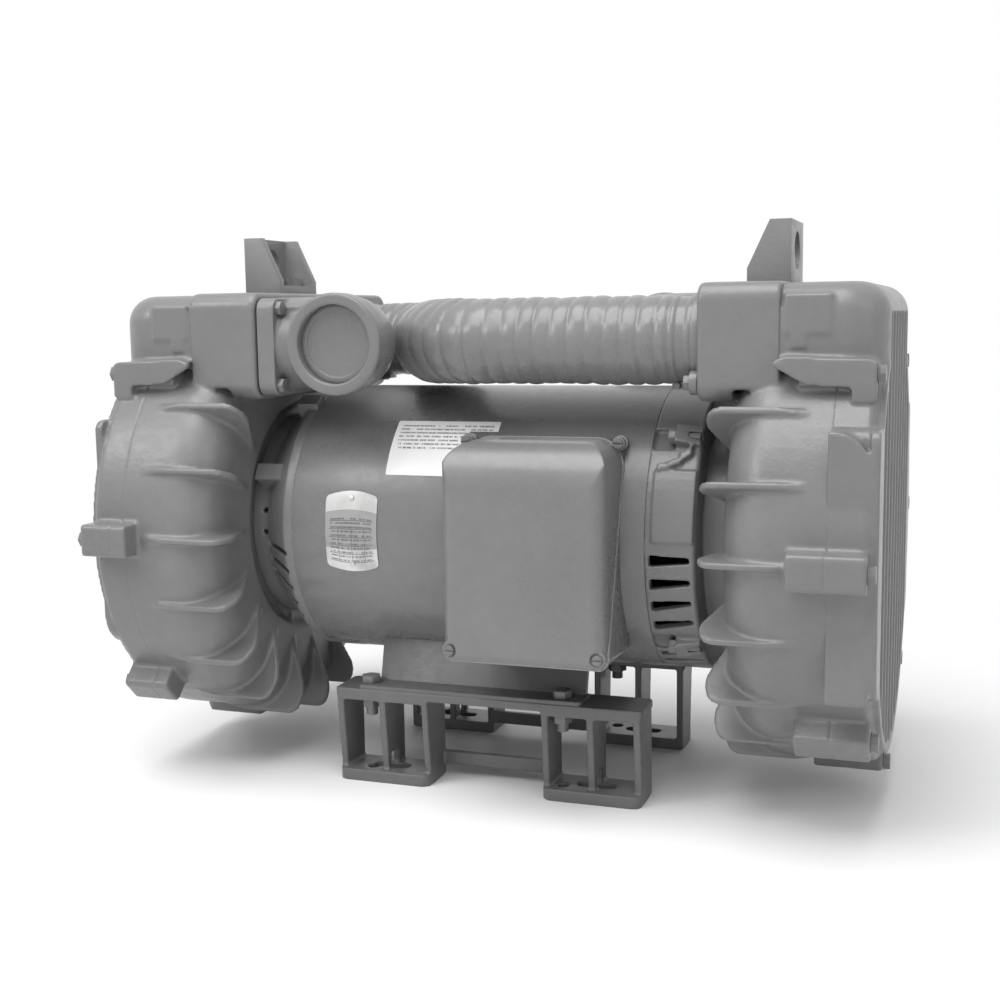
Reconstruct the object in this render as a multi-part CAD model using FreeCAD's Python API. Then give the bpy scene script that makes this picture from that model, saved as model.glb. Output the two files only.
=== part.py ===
import FreeCAD, Part
import math
import os

from FreeCAD import Vector

# Two-stage regenerative blower: a double-shaft motor between two annular
# blower stages, on two cast stands, with a corrugated hose between the stages.
# Millimetres. X runs along the shaft, Z is up, the front is at -Y.
# The origin is on the floor, at the middle of the stands' foot pattern.
# The whole blower end is one design: the left stage is the right one turned
# half a turn about Z, so only the right stage is modelled.

# Stands
shaft_height = 260.0
stand_half_length = 160.0
stand_height = shaft_height - 162.5
stand_face = 122.5
stand_depth = 50.0
stand_box = 100.0
stand_wall = 7.0
stand_wall_setback = 9.0
stand_top = 8.0
stand_top_overhang = 2.0
stand_foot = 12.0
stand_bar = 14.0
foot_slot_length = 40.0
foot_slot_width = 13.0
foot_corner = 9.0

# Motor
frame_radius = 142.0
frame_wall = 6.0
frame_left = -195.0
frame_right = 169.0
face_x = 258.0
face_flange = 12.0
neck_radius = frame_radius - 32.0
core_half_length = 85.0
core_centre = -15.0
core_bore = 80.0
rotor_gap = 0.8
shaft_core_radius = 32.0
bearing_bore = 27.5
bearing_outer = 50.0
bearing_width = 21.0
bearing_left_x = -226.0
bearing_right_x = 199.0
foot_bolt_span = 206.0
foot_bolt_middle = -25.0
foot_bolt_y = 106.0
foot_plate_thick = 4.0
foot_plate_ends = (-136.0, 101.0)
foot_web_ends = (-123.0, 98.0)

# Conduit box on the motor's front
box_x = (-14.0, 146.0)
box_z = (shaft_height - 108.0, shaft_height + 99.0)
box_gasket = 2.0
box_back = -60.0
box_seam_slope = 0.33
box_seam_clear = 0.8
box_seam_low = (-(frame_radius + box_seam_clear) * math.hypot(1.0, box_seam_slope) - box_gasket
                - box_seam_slope * (shaft_height - box_z[0]))
box_front = box_seam_low - 6.0
box_top_curve = 42.0
box_corner = 28.0
box_front_corner = 15.0
box_wall = 2.5
box_thread = 7.0
box_screw_inset = 8.0
box_top_screw_inset = 4.5
box_top_ear = 6.5

# Blower stage, right side
parting_x = 343.0
ring_radius = 218.0
ring_wall = 10.0
ring_face_x = 250.0
ring_shoulder = 42.0
channel_inner = 127.0
channel_floor_motor = 262.0
channel_floor_cover = 370.0
impeller_x = 317.0
impeller_radius = 184.0
vane_root = 130.0
vane_half_width = 24.0
vane_count = 40
vane_thickness = 3.0
shaft_end_radius = 22.0
seal_shaft_radius = 24.0
seal_fit = 0.06
shaft_end_x = 336.0
rib_count = 20
rib_thickness = 6.0
rib_tip_x = 229.0
rib_root_x = 246.0
lug_radius = ring_radius + 23.0
lug_width = 32.0
lug_x = (311.0, 377.0)
rear_lug_start = 326.0
lug_bolt_radius = ring_radius + 10.0
bottom_lug_radius = ring_radius + 17.0
cover_face_x = 377.0
cover_tip_x = 384.0
plate_thick = 8.0
plate_half_width = ring_radius - 6.0
plate_rear_width = ring_radius - 20.0
plate_z = (shaft_height - 118.0, shaft_height + 116.0)
bulge_height = 10.0
bulge_corner = 32.0
fin_pitch = 38.0
fin_thickness = 7.0

# Port block on top of each stage
upper_bolt = lug_bolt_radius * math.sqrt(0.5)
lip_face = upper_bolt + 11.78
lip_low = shaft_height + upper_bolt - 26.22
lip_thick = 7.0
block_half_width = lip_face - 15.0
port_z = shaft_height + frame_radius + 48.0
block_z = (shaft_height + frame_radius - 7.0, port_z + ring_radius - 167.0)
block_x = 220.0
block_split_x = 292.0
block_end_corner = 40.0
block_end_top = 28.0
block_step = 1.5
block_wall = 8.0
port_y = 108.0
port_radius = 36.0

# Elbows, hose and spigots
flange_side = 96.0
elbow_flange = 19.0
elbow_straight = 9.5
elbow_bend = 76.0
elbow_radius = 46.0
elbow_bore = 37.0
nozzle_radius = 48.0
nozzle_face = 200.0
nozzle_ring = 22.0
plug_recess = 9.0
plug_thick = 10.0
spigot_flange = 7.0
spigot_length = 24.0
hose_inner = 34.0
hose_outer = 37.4
hose_ridge = 39.2
hose_ridge_width = 4.0
hose_pitch = 10.5
hose_bend_x = 12.0
hose_bend = 92.0
hose_turn = 74.0
clamp_width = 9.0
clamp_thick = 1.6

# Lifting eyes
eye_plate = 9.0
eye_x = 288.0
eye_half_width = 42.0
eye_middle_y = -11.0
eye_top = block_z[1] + 59.0
eye_base_length = 41.0
eye_hole_z = block_z[1] + 31.0
eye_hole_radius = 18.0

# Fasteners
cover_bolt = 5.0
face_bolt = 6.0
small_bolt = 4.0
hole_clearance = 0.3

AXIS = Vector(1, 0, 0)
SHAFT = Vector(0, 0, shaft_height)


def box(x, y, z):
    """Box between the two ends given on each axis."""
    return Part.makeBox(x[1] - x[0], y[1] - y[0], z[1] - z[0], Vector(x[0], y[0], z[0]))


def rod(radius, x, y=0.0, z=shaft_height):
    """Cylinder along X between two X places."""
    return Part.makeCylinder(radius, x[1] - x[0], Vector(x[0], y, z), AXIS)


def tube(outer, inner, x, y=0.0, z=shaft_height):
    return rod(outer, x, y, z).cut(rod(inner, x, y, z))


def post(radius, z, x, y):
    """Cylinder along Z."""
    return Part.makeCylinder(radius, z[1] - z[0], Vector(x, y, z[0]))


def peg(radius, y, x, z):
    """Cylinder along Y."""
    return Part.makeCylinder(radius, y[1] - y[0], Vector(x, y[0], z), Vector(0, 1, 0))


def hexagon(across, x, y, z):
    """Hexagonal head along X, with its width across flats."""
    radius = across / math.sqrt(3)
    points = [Vector(x[0], y + radius * math.cos(math.radians(60 * k)),
                     z + radius * math.sin(math.radians(60 * k))) for k in range(7)]
    return Part.Face(Part.makePolygon(points)).extrude(Vector(x[1] - x[0], 0, 0))


def prism(points, direction):
    """Closed polygon extruded along a direction."""
    return Part.Face(Part.makePolygon(points + [points[0]])).extrude(direction)


def outline(corners, place):
    """Closed face through flat corners; a third value rounds that corner."""
    points = [place(corner[0], corner[1]) for corner in corners]
    bends = []
    for k, corner in enumerate(corners):
        here = points[k]
        radius = corner[2] if len(corner) > 2 else 0
        if not radius:
            bends.append((here, None, here))
            continue
        back = Vector(points[k - 1] - here).normalize()
        ahead = Vector(points[(k + 1) % len(points)] - here).normalize()
        half = back.getAngle(ahead) / 2
        middle = Vector(back + ahead).normalize()
        nearest = here + middle * (radius / math.sin(half) - radius)
        run = radius / math.tan(half)
        bends.append((here + back * run, nearest, here + ahead * run))
    edges = []
    for k, (first, through, last) in enumerate(bends):
        if through:
            edges.append(Part.Arc(first, through, last).toShape())
        following = bends[(k + 1) % len(bends)][0]
        if (following - last).Length > 0.001:
            edges.append(Part.LineSegment(last, following).toShape())
    return Part.Face(Part.Wire(edges))


def lathe(profile, side=1):
    """Solid of revolution about the shaft, from (x, radius) corners; side -1 mirrors it."""
    face = outline(profile, lambda x, radius: Vector(side * x, 0, shaft_height + radius))
    return face.revolve(SHAFT, AXIS, 360)


def around(shape, angle):
    """Copy turned about the shaft, from the front (0) up to the top (90)."""
    copy = shape.copy()
    copy.rotate(SHAFT, AXIS, -angle)
    return copy


def turned(shape):
    """Half a turn about Z: the left stage's copy of a right stage piece."""
    copy = shape.copy()
    copy.rotate(Vector(0, 0, 0), Vector(0, 0, 1), 180)
    return copy


def rear(shape):
    """Mirror image at the rear."""
    return shape.mirror(Vector(0, 0, 0), Vector(0, 1, 0))


def joined(shapes):
    first, *others = shapes
    return first.multiFuse(others).removeSplitter() if others else first


def rounded(shape, radius, chosen):
    """Fillet of the edges that the test picks by their bounding box."""
    edges = [edge for edge in shape.Edges if chosen(edge.BoundBox)]
    return shape.makeFillet(radius, edges)


def along(axis, box_):
    """True for an edge that runs along one axis only."""
    sizes = {"x": box_.XLength, "y": box_.YLength, "z": box_.ZLength}
    return sizes.pop(axis) > 0.5 and max(sizes.values()) < 0.01


def placed(radius, angle):
    """Y and Z of a point round the shaft."""
    turn = math.radians(angle)
    return -radius * math.cos(turn), shaft_height + radius * math.sin(turn)


# Stands

def stand():
    """Front stand: two open boxes under one top plate, tied by a low bar."""
    front = -stand_face
    back = front + stand_depth
    inner_x = stand_half_length - stand_box
    wall_top = stand_height - stand_top
    end = stand_half_length + stand_top_overhang
    top = box((-end, end), (front, back), (wall_top, stand_height))
    top = rounded(top, 5.0, lambda b: along("z", b))
    pieces = [top]
    middle = stand_half_length - stand_box / 2
    for side in (-1, 1):
        for place in (stand_half_length - stand_wall / 2, middle, inner_x + stand_wall / 2):
            start = side * place - stand_wall / 2
            corners = [Vector(start, front, wall_top + 1), Vector(start, back, wall_top + 1),
                       Vector(start, back, 1), Vector(start, front + stand_wall_setback, 1)]
            pieces.append(prism(corners, Vector(stand_wall, 0, 0)))
        x = sorted((side * inner_x, side * stand_half_length))
        foot = box(x, (front, back), (0, stand_foot))
        foot = rounded(foot, foot_corner, lambda b: along("z", b))
        edge = box((x[0], x[1]), (front, back), (wall_top - 4, wall_top))
        opening = box((x[0] + stand_wall, x[1] - stand_wall), (front + 4, back), (wall_top - 5, wall_top))
        pieces += [foot, edge.cut(opening)]
    pieces.append(box((-inner_x, inner_x), (back - stand_wall, back), (stand_foot, stand_foot + stand_bar)))
    body = joined(pieces)
    slot_y = front + stand_depth / 2
    run = (foot_slot_length - foot_slot_width) / 2
    for side in (-1, 1):
        cuts = [box((side * middle - run, side * middle + run),
                    (slot_y - foot_slot_width / 2, slot_y + foot_slot_width / 2), (-1, stand_foot + 1))]
        for end in (-run, run):
            cuts.append(post(foot_slot_width / 2, (-1, stand_foot + 1), side * middle + end, slot_y))
        rib = box((side * middle - foot_slot_length / 2 - 2, side * middle + foot_slot_length / 2 + 2),
                  (slot_y - foot_slot_width / 2 - 3, slot_y + foot_slot_width / 2 + 3),
                  (stand_foot, stand_foot + 16))
        body = body.cut(joined(cuts)).cut(rib)
    for x in foot_bolt_places():
        body = body.cut(post(face_bolt + hole_clearance, (0, stand_height + 1), x, -foot_bolt_y))
    return body


def foot_bolt_places():
    return (foot_bolt_middle - foot_bolt_span / 2, foot_bolt_middle + foot_bolt_span / 2)


def motor_foot():
    """Folded foot plate: a flange on each stand and sloped webs up to the frame."""
    top = stand_height + foot_plate_thick
    weld_y = 78.0
    weld_z = shaft_height - math.sqrt(frame_radius ** 2 - weld_y ** 2)
    fold_y = 90.0
    flange = box(foot_plate_ends, (-stand_face + 1, -fold_y + 4), (stand_height, top))
    flange = rounded(flange, 4.0, lambda b: along("z", b) and b.YMin < -stand_face + 2)
    corners = [(-fold_y - 4, stand_height), (-fold_y + 4, stand_height), (-weld_y + 6, weld_z + 6),
               (-weld_y - 3, weld_z + 6)]
    web = prism([Vector(foot_web_ends[0], y, z) for y, z in corners],
                Vector(foot_web_ends[1] - foot_web_ends[0], 0, 0))
    half = joined([flange, web])
    for x in foot_bolt_places():
        half = half.cut(post(face_bolt + hole_clearance, (stand_height - 1, top + 1), x, -foot_bolt_y))
    tie = box(foot_web_ends, (-weld_y + 3, weld_y - 3), (weld_z - 12, weld_z - 6))
    foot = joined([half, rear(half), tie])
    return foot.cut(rod(frame_radius, (frame_left, frame_right)))


def foot_fasteners():
    """Bolts from above, with washers and nuts under the stands' top plates."""
    top = stand_height + foot_plate_thick
    under = stand_height - stand_top
    bolts, nuts = [], []
    for x in foot_bolt_places():
        for y in (-foot_bolt_y, foot_bolt_y):
            shank = post(face_bolt, (under - 22, top), x, y)
            head = upright_hexagon(18.0, (top, top + 7.5), x, y)
            bolts.append(joined([shank, head]))
            washer = post(10.7, (under - 2.5, under), x, y)
            nut = upright_hexagon(18.0, (under - 13, under - 2.5), x, y)
            nuts.append(joined([washer, nut]).cut(post(face_bolt + 0.02, (under - 30, under + 1), x, y)))
    return Part.makeCompound(bolts), Part.makeCompound(nuts)


def upright_hexagon(across, z, x, y):
    radius = across / math.sqrt(3)
    points = [Vector(x + radius * math.cos(math.radians(60 * k)),
                     y + radius * math.sin(math.radians(60 * k)), z[0]) for k in range(6)]
    return prism(points, Vector(0, 0, z[1] - z[0]))


# Motor

def motor_frame():
    frame = tube(frame_radius, frame_radius - frame_wall, (frame_left, frame_right))
    lead_hole = peg(16.0, (-frame_radius - 2, -frame_radius + 20), sum(box_x) / 2, shaft_height)
    return frame.cut(lead_hole)


def stator_core():
    ends = (core_centre - core_half_length, core_centre + core_half_length)
    core = tube(frame_radius - frame_wall, core_bore, ends)
    slot = box((ends[0] - 1, ends[1] + 1), (-core_bore - 24, -core_bore + 1),
               (shaft_height - 3.5, shaft_height + 3.5))
    return core.cut(Part.makeCompound([around(slot, 10 * k) for k in range(36)]))


def stator_windings():
    """Slot bars and the two end turns, as one varnished coil set."""
    ends = (core_centre - core_half_length, core_centre + core_half_length)
    bar = box((ends[0] - 6, ends[1] + 6), (-core_bore - 23.5, -core_bore - 4),
              (shaft_height - 3.2, shaft_height + 3.2))
    turns = []
    for inner, outer in ((ends[0] - 36, ends[0] - 4), (ends[1] + 4, ends[1] + 36)):
        turn = tube(core_bore + 30, core_bore + 3, (inner, outer))
        turns.append(rounded(turn, 8.0, lambda b: b.XLength < 0.01))
    return joined(turns + [around(bar, 10 * k) for k in range(36)])


def rotor_core():
    ends = (core_centre - core_half_length, core_centre + core_half_length)
    return tube(core_bore - rotor_gap, shaft_core_radius, ends)


def rotor_cage():
    """Cast end rings with their fan blades, on both ends of the rotor core."""
    ends = (core_centre - core_half_length, core_centre + core_half_length)
    rings = []
    for x, blades in (((ends[0] - 14, ends[0]), (ends[0] - 34, ends[0] - 13)),
                      ((ends[1], ends[1] + 14), (ends[1] + 13, ends[1] + 34))):
        ring = tube(core_bore - 3, core_bore - 25, x)
        blade = box(blades, (-core_bore + 5, -core_bore + 23), (shaft_height - 2, shaft_height + 2))
        rings.append(joined([ring] + [around(blade, 30 * k) for k in range(12)]))
    return Part.makeCompound(rings)


def shaft():
    """Double-ended stepped shaft, with a keyway and a tapped hole at each end."""
    right = bearing_right_x
    left = bearing_left_x + bearing_width
    steps = [rod(shaft_core_radius, (left + 8, right - 8)),
             rod(bearing_bore + 3, (left, right)),
             rod(bearing_bore, (bearing_left_x, right + bearing_width)),
             rod(seal_shaft_radius, (-impeller_x + 19, impeller_x - 19)),
             rod(shaft_end_radius, (-shaft_end_x, shaft_end_x))]
    body = joined(steps)
    hub = key_span()
    for side in (1, -1):
        keyway = box(hub, (-4, 4), (shaft_height + shaft_end_radius - 4, shaft_height + shaft_end_radius + 1))
        tapped = rod(small_bolt, (shaft_end_x - 30, shaft_end_x + 1))
        cut = joined([keyway, tapped])
        body = body.cut(cut if side == 1 else turned(cut))
    return body


def key_span():
    return (impeller_x - 16, impeller_x + 14)


def bearing(x0):
    """Outer race, inner race and the ball set of one shaft bearing."""
    span = (x0, x0 + bearing_width)
    ball_circle = (bearing_bore + bearing_outer) / 2
    ball = 5.0
    groove = Part.makeTorus(ball_circle, ball + 0.05, Vector(x0 + bearing_width / 2, 0, shaft_height), AXIS)
    outer = tube(bearing_outer, ball_circle + ball - 1.0, span).cut(groove)
    inner = tube(ball_circle - ball + 1.0, bearing_bore, span).cut(groove)
    centre = Vector(x0 + bearing_width / 2, -ball_circle, shaft_height)
    balls = [around(Part.makeSphere(ball, centre), 30 * k) for k in range(12)]
    return outer, inner, Part.makeCompound(balls)


def bell_slots(spots, x, depth):
    """Louvres, each taller at the frame's end; rise lifts the other end."""
    slots = []
    for spot, rise in spots:
        corners = [(x[0], -6.0), (x[1], rise - 2.0), (x[1], rise + 3.5), (x[0], 5.0)]
        slot = prism([Vector(a, -frame_radius - 3, shaft_height + b) for a, b in corners],
                     Vector(0, depth + 3, 0))
        slots += [around(slot, spot), around(slot, 180 - spot)]
    return Part.makeCompound(slots)


def bell_bolt_angles():
    return (43.5, -43.5, 136.5, -136.5)


def bell_boss():
    """Boss that takes a bell bolt; its back slopes down to the bell's end."""
    low = frame_radius - 12
    corners = [(192, frame_radius + 11), (216, frame_radius + 5), (216, low), (192, low)]
    return prism([Vector(x, -radius, shaft_height - 10) for x, radius in corners], Vector(0, 0, 20))


def bell_right():
    """Right end bell: full-width louvred drum, then the machined face neck."""
    front = face_x
    seat = bearing_right_x
    inner = frame_radius - 8
    profile = [(frame_right, frame_radius), (217, frame_radius, 4), (217, neck_radius), (front, neck_radius),
               (front, 64), (front - 8, 64), (front - 8, 100), (226, 100), (226, 40),
               (seat + bearing_width, 40), (seat + bearing_width, bearing_outer), (seat, bearing_outer),
               (seat, 60), (209, 66), (209, inner), (frame_right, inner)]
    body = lathe(profile)
    for angle in bell_bolt_angles():
        y, z = placed(frame_radius + 3, angle)
        body = body.fuse(around(bell_boss(), angle))
        pocket = box((170, 192), (-frame_radius - 5, -frame_radius + 5),
                     (shaft_height - 12, shaft_height + 12))
        body = body.cut(around(pocket, angle)).cut(rod(small_bolt + 0.5, (bearing_right_x - 22, 225), y, z))
    slots = bell_slots(((-5, 0), (-14.5, 2), (-24, 4), (-33.5, 5), (-53, 6), (-60.5, 6)), (173, 211), 12)
    return body.cut(slots).cut(face_bolt_holes())


def bell_left():
    """Left end bell: short louvred cone and a long plain neck."""
    front = face_x
    seat = -bearing_left_x
    profile = [(-frame_left, frame_radius), (205, frame_radius, 3), (240, neck_radius, 8),
               (front, neck_radius), (front, 64), (front - 8, 64), (front - 8, 100), (232, 100), (232, 40),
               (seat, 40), (seat, bearing_outer), (seat - bearing_width, bearing_outer),
               (seat - bearing_width, 60), (212, 66), (212, neck_radius + 4), (203, frame_radius - 8),
               (-frame_left, frame_radius - 8)]
    body = lathe(profile, -1)
    for angle in (27.0, 153.0):
        bar = box((-ring_face_x + 1, frame_left - 6), (-neck_radius - 20, -neck_radius + 8),
                  (shaft_height - 9, shaft_height + 9))
        body = body.fuse(around(bar, angle))
    for angle in (62.0, 118.0):
        bar = box((-block_x + 1, frame_left), (-frame_radius - 6, -frame_radius + 30),
                  (shaft_height - 10, shaft_height + 10))
        body = body.fuse(around(bar, angle))
    slots = [around(box((-238, -204), (-frame_radius - 3, -neck_radius + 2),
                        (shaft_height - 3, shaft_height + 3)), angle)
             for angle in (-9, -17, -25, -33, -41, 189, 197, 205, 213, 221)]
    holes = [around(peg(3.2, (-neck_radius - 2, -neck_radius + 14), -243, shaft_height), angle)
             for angle in (9, -3)]
    body = body.cut(Part.makeCompound(slots)).cut(Part.makeCompound(holes))
    return body.cut(turned(face_bolt_holes()))


def face_bolt_places():
    return [placed(84.0, angle) for angle in (45, 135, 225, 315)]


def face_bolt_holes():
    return Part.makeCompound([rod(face_bolt + hole_clearance, (face_x - 12, face_x + face_flange + 1), y, z)
                              for y, z in face_bolt_places()])


def bell_bolts():
    """Long bolts that pull the right bell to the frame; heads sit in its pockets."""
    bolts = []
    for angle in bell_bolt_angles():
        y, z = placed(frame_radius + 3, angle)
        bolts.append(joined([rod(small_bolt, (192, 215), y, z), hexagon(13, (185, 192), y, z)]))
    return Part.makeCompound(bolts)


# Conduit box

def box_block(gap):
    """The whole conduit box as one block, smaller by a gap all round."""
    x = (box_x[0] + gap, box_x[1] - gap)
    z = (box_z[0] + gap, box_z[1] - gap)
    front = box_front + gap
    side = [(box_back, z[0]), (front, z[0], 9 - gap), (front, z[1], box_top_curve - gap), (box_back, z[1])]
    face = [(x[0], z[0], 9 - gap), (x[1], z[0], 9 - gap), (x[1], z[1], box_corner - gap),
            (x[0], z[1], box_corner - gap)]
    deep = outline(side, lambda a, b: Vector(x[0], a, b)).extrude(Vector(x[1] - x[0], 0, 0))
    wide = outline(face, lambda a, b: Vector(a, front, b)).extrude(Vector(0, box_back - front, 0))
    corner = box_front_corner - gap
    plan = outline([(x[0], box_back), (x[0], front, corner), (x[1], front, corner), (x[1], box_back)],
                   lambda a, b: Vector(a, b, z[0])).extrude(Vector(0, 0, z[1] - z[0]))
    return deep.common(wide).common(plan)


def seam_y(z):
    """The seam between cover and tray leans back towards the top."""
    return box_seam_low + box_seam_slope * (z - box_z[0])


def in_front_of_seam(offset):
    z = (box_z[0] - 20, box_z[1] + 20)
    corners = [(box_front - 50, z[0]), (seam_y(z[0]) + offset, z[0]), (seam_y(z[1]) + offset, z[1]),
               (box_front - 50, z[1])]
    return prism([Vector(box_x[0] - 20, y, height) for y, height in corners],
                 Vector(box_x[1] - box_x[0] + 40, 0, 0))


def box_screw_places():
    """Two screws in the lower corners, two outside the rounded upper ones."""
    low, high = box_screw_inset, box_top_screw_inset
    lower = [(x, box_z[0] + low + 3) for x in (box_x[0] + low, box_x[1] - low)]
    return lower, [(x, box_z[1] - high) for x in (box_x[0] + high, box_x[1] - high)]


def box_screw_spots():
    lower, upper = box_screw_places()
    return lower + upper


def ear_radius(z):
    return box_top_ear if z > shaft_height else box_screw_inset


def box_ears():
    """Screw lobes in the four corners, along the whole depth of the box."""
    ears = []
    for x, z in box_screw_spots():
        ears.append(peg(ear_radius(z), (box_front, box_back), x, z))
    return Part.makeCompound(ears)


def box_screw_holes(gap):
    return Part.makeCompound([peg(2.5 + gap, (box_front, seam_y(z) + box_gasket + box_thread + 1), x, z)
                              for x, z in box_screw_spots()])


def screw_seat(z):
    """Y of the cover's ear faces, on which the screw heads sit."""
    return seam_y(z) - 7.0


def conduit_box():
    """Steel tray behind the slanted seam, cut to the round frame, with four screw ears."""
    behind = box_block(0).cut(in_front_of_seam(box_gasket))
    tray = behind.cut(box_block(box_wall))
    slab = in_front_of_seam(box_gasket + box_thread).cut(in_front_of_seam(box_gasket))
    tray = tray.fuse(box_ears().common(slab))
    return tray.cut(rod(frame_radius, (frame_left, frame_right))).cut(box_screw_holes(0.1))


def conduit_gasket():
    slab = in_front_of_seam(box_gasket).cut(in_front_of_seam(0))
    ring = box_block(0).cut(box_block(box_wall + 2)).common(slab)
    return ring.fuse(box_ears().common(slab)).cut(box_screw_holes(0.1))


def conduit_cover():
    """Deep cover with a curved top, a leaning seam and a screw ear in each corner."""
    shell = box_block(0).cut(box_block(box_wall))
    lower, upper = box_screw_places()
    for x, z in lower + upper:
        seat = screw_seat(z)
        shell = shell.fuse(peg(ear_radius(z), (seat, box_back), x, z))
        if z < shaft_height:
            wall = peg(ear_radius(z) + box_wall, (box_front, seat + 0.5), x, z).common(box_block(0))
            shell = shell.fuse(wall).cut(peg(ear_radius(z) - 1.2, (box_front - 1, seat), x, z))
    return shell.common(in_front_of_seam(0)).cut(box_screw_holes(0.3))


def conduit_screws():
    screws = []
    for x, z in box_screw_spots():
        seat = screw_seat(z)
        head = peg(4.8, (seat - 3.2, seat), x, z)
        head = head.cut(box((x - 6, x + 6), (seat - 4, seat - 1.8), (z - 0.7, z + 0.7)))
        screws.append(joined([head, peg(2.5, (seat - 0.5, seam_y(z) + box_gasket + box_thread), x, z)]))
    return Part.makeCompound(screws)


def terminal_block():
    """Terminal strip with its six studs, on the tray floor inside the conduit box."""
    x = (sum(box_x) / 2 - 40, sum(box_x) / 2 + 40)
    y = -frame_radius
    base = box(x, (y - 12, y + 14), (shaft_height - 44, shaft_height - 22))
    studs = [peg(3.0, (y - 24, y - 11), x[0] + 10 + 12 * k, shaft_height - 33) for k in range(6)]
    return joined([base] + studs).cut(rod(frame_radius, (frame_left, frame_right)))


def curved_plate(x, low, high, thick, corner):
    """Thin plate bent round the motor frame between two angles."""
    radius = frame_radius + thick
    shell = tube(radius, frame_radius + 0.05, x)
    z = (shaft_height + frame_radius * math.sin(math.radians(low)),
         shaft_height + frame_radius * math.sin(math.radians(high)))
    window = box(x, (-radius - 1, -20), z)
    window = rounded(window, corner, lambda b: along("y", b))
    return shell.common(window)


def nameplate():
    plate = curved_plate((-157, -101), -15, 18, 0.8, 5.0)
    return plate.cut(rivet_pegs(1.6))


def rivet_pegs(radius):
    hole = peg(radius, (-frame_radius - 2, -frame_radius + 10), -129, shaft_height)
    return Part.makeCompound([around(hole, angle) for angle in (15, -12)])


def nameplate_rivets():
    rivets = []
    for angle in (15, -12):
        face = -frame_radius - 0.8
        rivet = joined([peg(1.6, (face, -frame_radius), -129, shaft_height),
                        peg(2.6, (face - 1, face), -129, shaft_height)])
        rivets.append(around(rivet, angle))
    return Part.makeCompound(rivets)


def data_label():
    """Sticker on the frame; its lower right corner stops at the conduit box."""
    label = curved_plate((-96, 13), 25, 51, 0.3, 2.0)
    return label.cut(box((box_x[0] - 2.5, box_x[1]), (box_front, 0), (box_z[0], box_z[1] + 2.5)))


# Blower stage, right side

def ring_casting():
    """Half of the annular channel on the motor side, with its hub wall and flange."""
    inside = face_x + face_flange
    outer = ring_radius - ring_wall
    motor = channel_floor_motor
    profile = [(parting_x, ring_radius), (ring_face_x, ring_radius, ring_shoulder),
               (ring_face_x, neck_radius + 18, 6), (face_x, neck_radius + 8), (face_x, 46), (inside, 46),
               (inside, 104), (288, 108), (288, 32), (297, 32), (297, 112), (308.2, 112),
               (308.2, channel_inner),
               (motor + 14, channel_inner), (motor, channel_inner + 14), (motor, outer - 24),
               (motor + 8, outer - 8), (motor + 24, outer), (parting_x, outer)]
    return lathe(profile)


def channel_void():
    """The free space of ring casting and cover: hub pockets and annular channel."""
    outer = ring_radius - ring_wall
    motor, end = channel_floor_motor, channel_floor_cover
    profile = [(308.2, 0), (308.2, channel_inner), (motor + 14, channel_inner), (motor, channel_inner + 14),
               (motor, outer - 24), (motor + 8, outer - 8), (motor + 24, outer), (end - 18, outer),
               (end, outer - 18), (end, channel_inner + 14), (end - 14, channel_inner), (326, channel_inner),
               (326, 112), (parting_x, 112), (parting_x, 104), (parting_x + 13, 104), (parting_x + 13, 0)]
    return lathe(profile)


def rib():
    """One radial rib: from the ring's outside over its shoulder and down its motor side."""
    tip = rib_tip_x
    top = ring_radius + 5
    corners = [(340, ring_radius - 3), (300, top, 60), (tip + 8, top, 14), (tip, top - 24, 30),
               (rib_root_x, neck_radius + 42, 24), (face_x - 2, neck_radius + 6),
               (face_x + 4, neck_radius + 2), (ring_face_x + 4, neck_radius + 22),
               (ring_face_x + 4, ring_radius - 4, 36)]
    face = outline(corners, lambda x, radius: Vector(x, -radius, shaft_height - rib_thickness / 2))
    return face.extrude(Vector(0, 0, rib_thickness))


def lug_angles():
    """Places of the cover lugs; the two upper ones are part of the port block."""
    return (0, -45, -90, -135, 180)


def lug(x, angle):
    """Half of a bolt lug; the rear lugs start nearer to the cover."""
    reach = bottom_lug_radius if angle == -90 else lug_radius
    if angle in (-135, 180):
        x = (max(x[0], rear_lug_start), x[1])
    body = box(x, (-reach, -ring_radius + 14),
               (shaft_height - lug_width / 2, shaft_height + lug_width / 2))
    return around(rounded(body, 4.0, lambda b: along("x", b) and b.YMax < -ring_radius), angle)


def bolt_places():
    return [placed(lug_bolt_radius, angle) for angle in lug_angles() + (45, 135)]


def port_chambers():
    """The two ducts inside the port block, open to both castings."""
    chambers = []
    z = (block_z[0] + block_wall, block_z[1] - block_wall)
    for side in (-1, 1):
        y = sorted((side * 54, side * (block_half_width - block_wall)))
        duct = box((block_x + block_wall, cover_face_x - 26), y, z)
        chambers.append(rounded(duct, 20.0, lambda b: along("x", b)))
    return Part.makeCompound(chambers)


def port_windows():
    """Openings between the annular channel and the two ducts."""
    windows = []
    for side in (-1, 1):
        y = sorted((side * 62, side * 128))
        windows.append(box((282, parting_x), y, (port_z - 25, shaft_height + ring_radius - 16)))
    return Part.makeCompound(windows)


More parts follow.
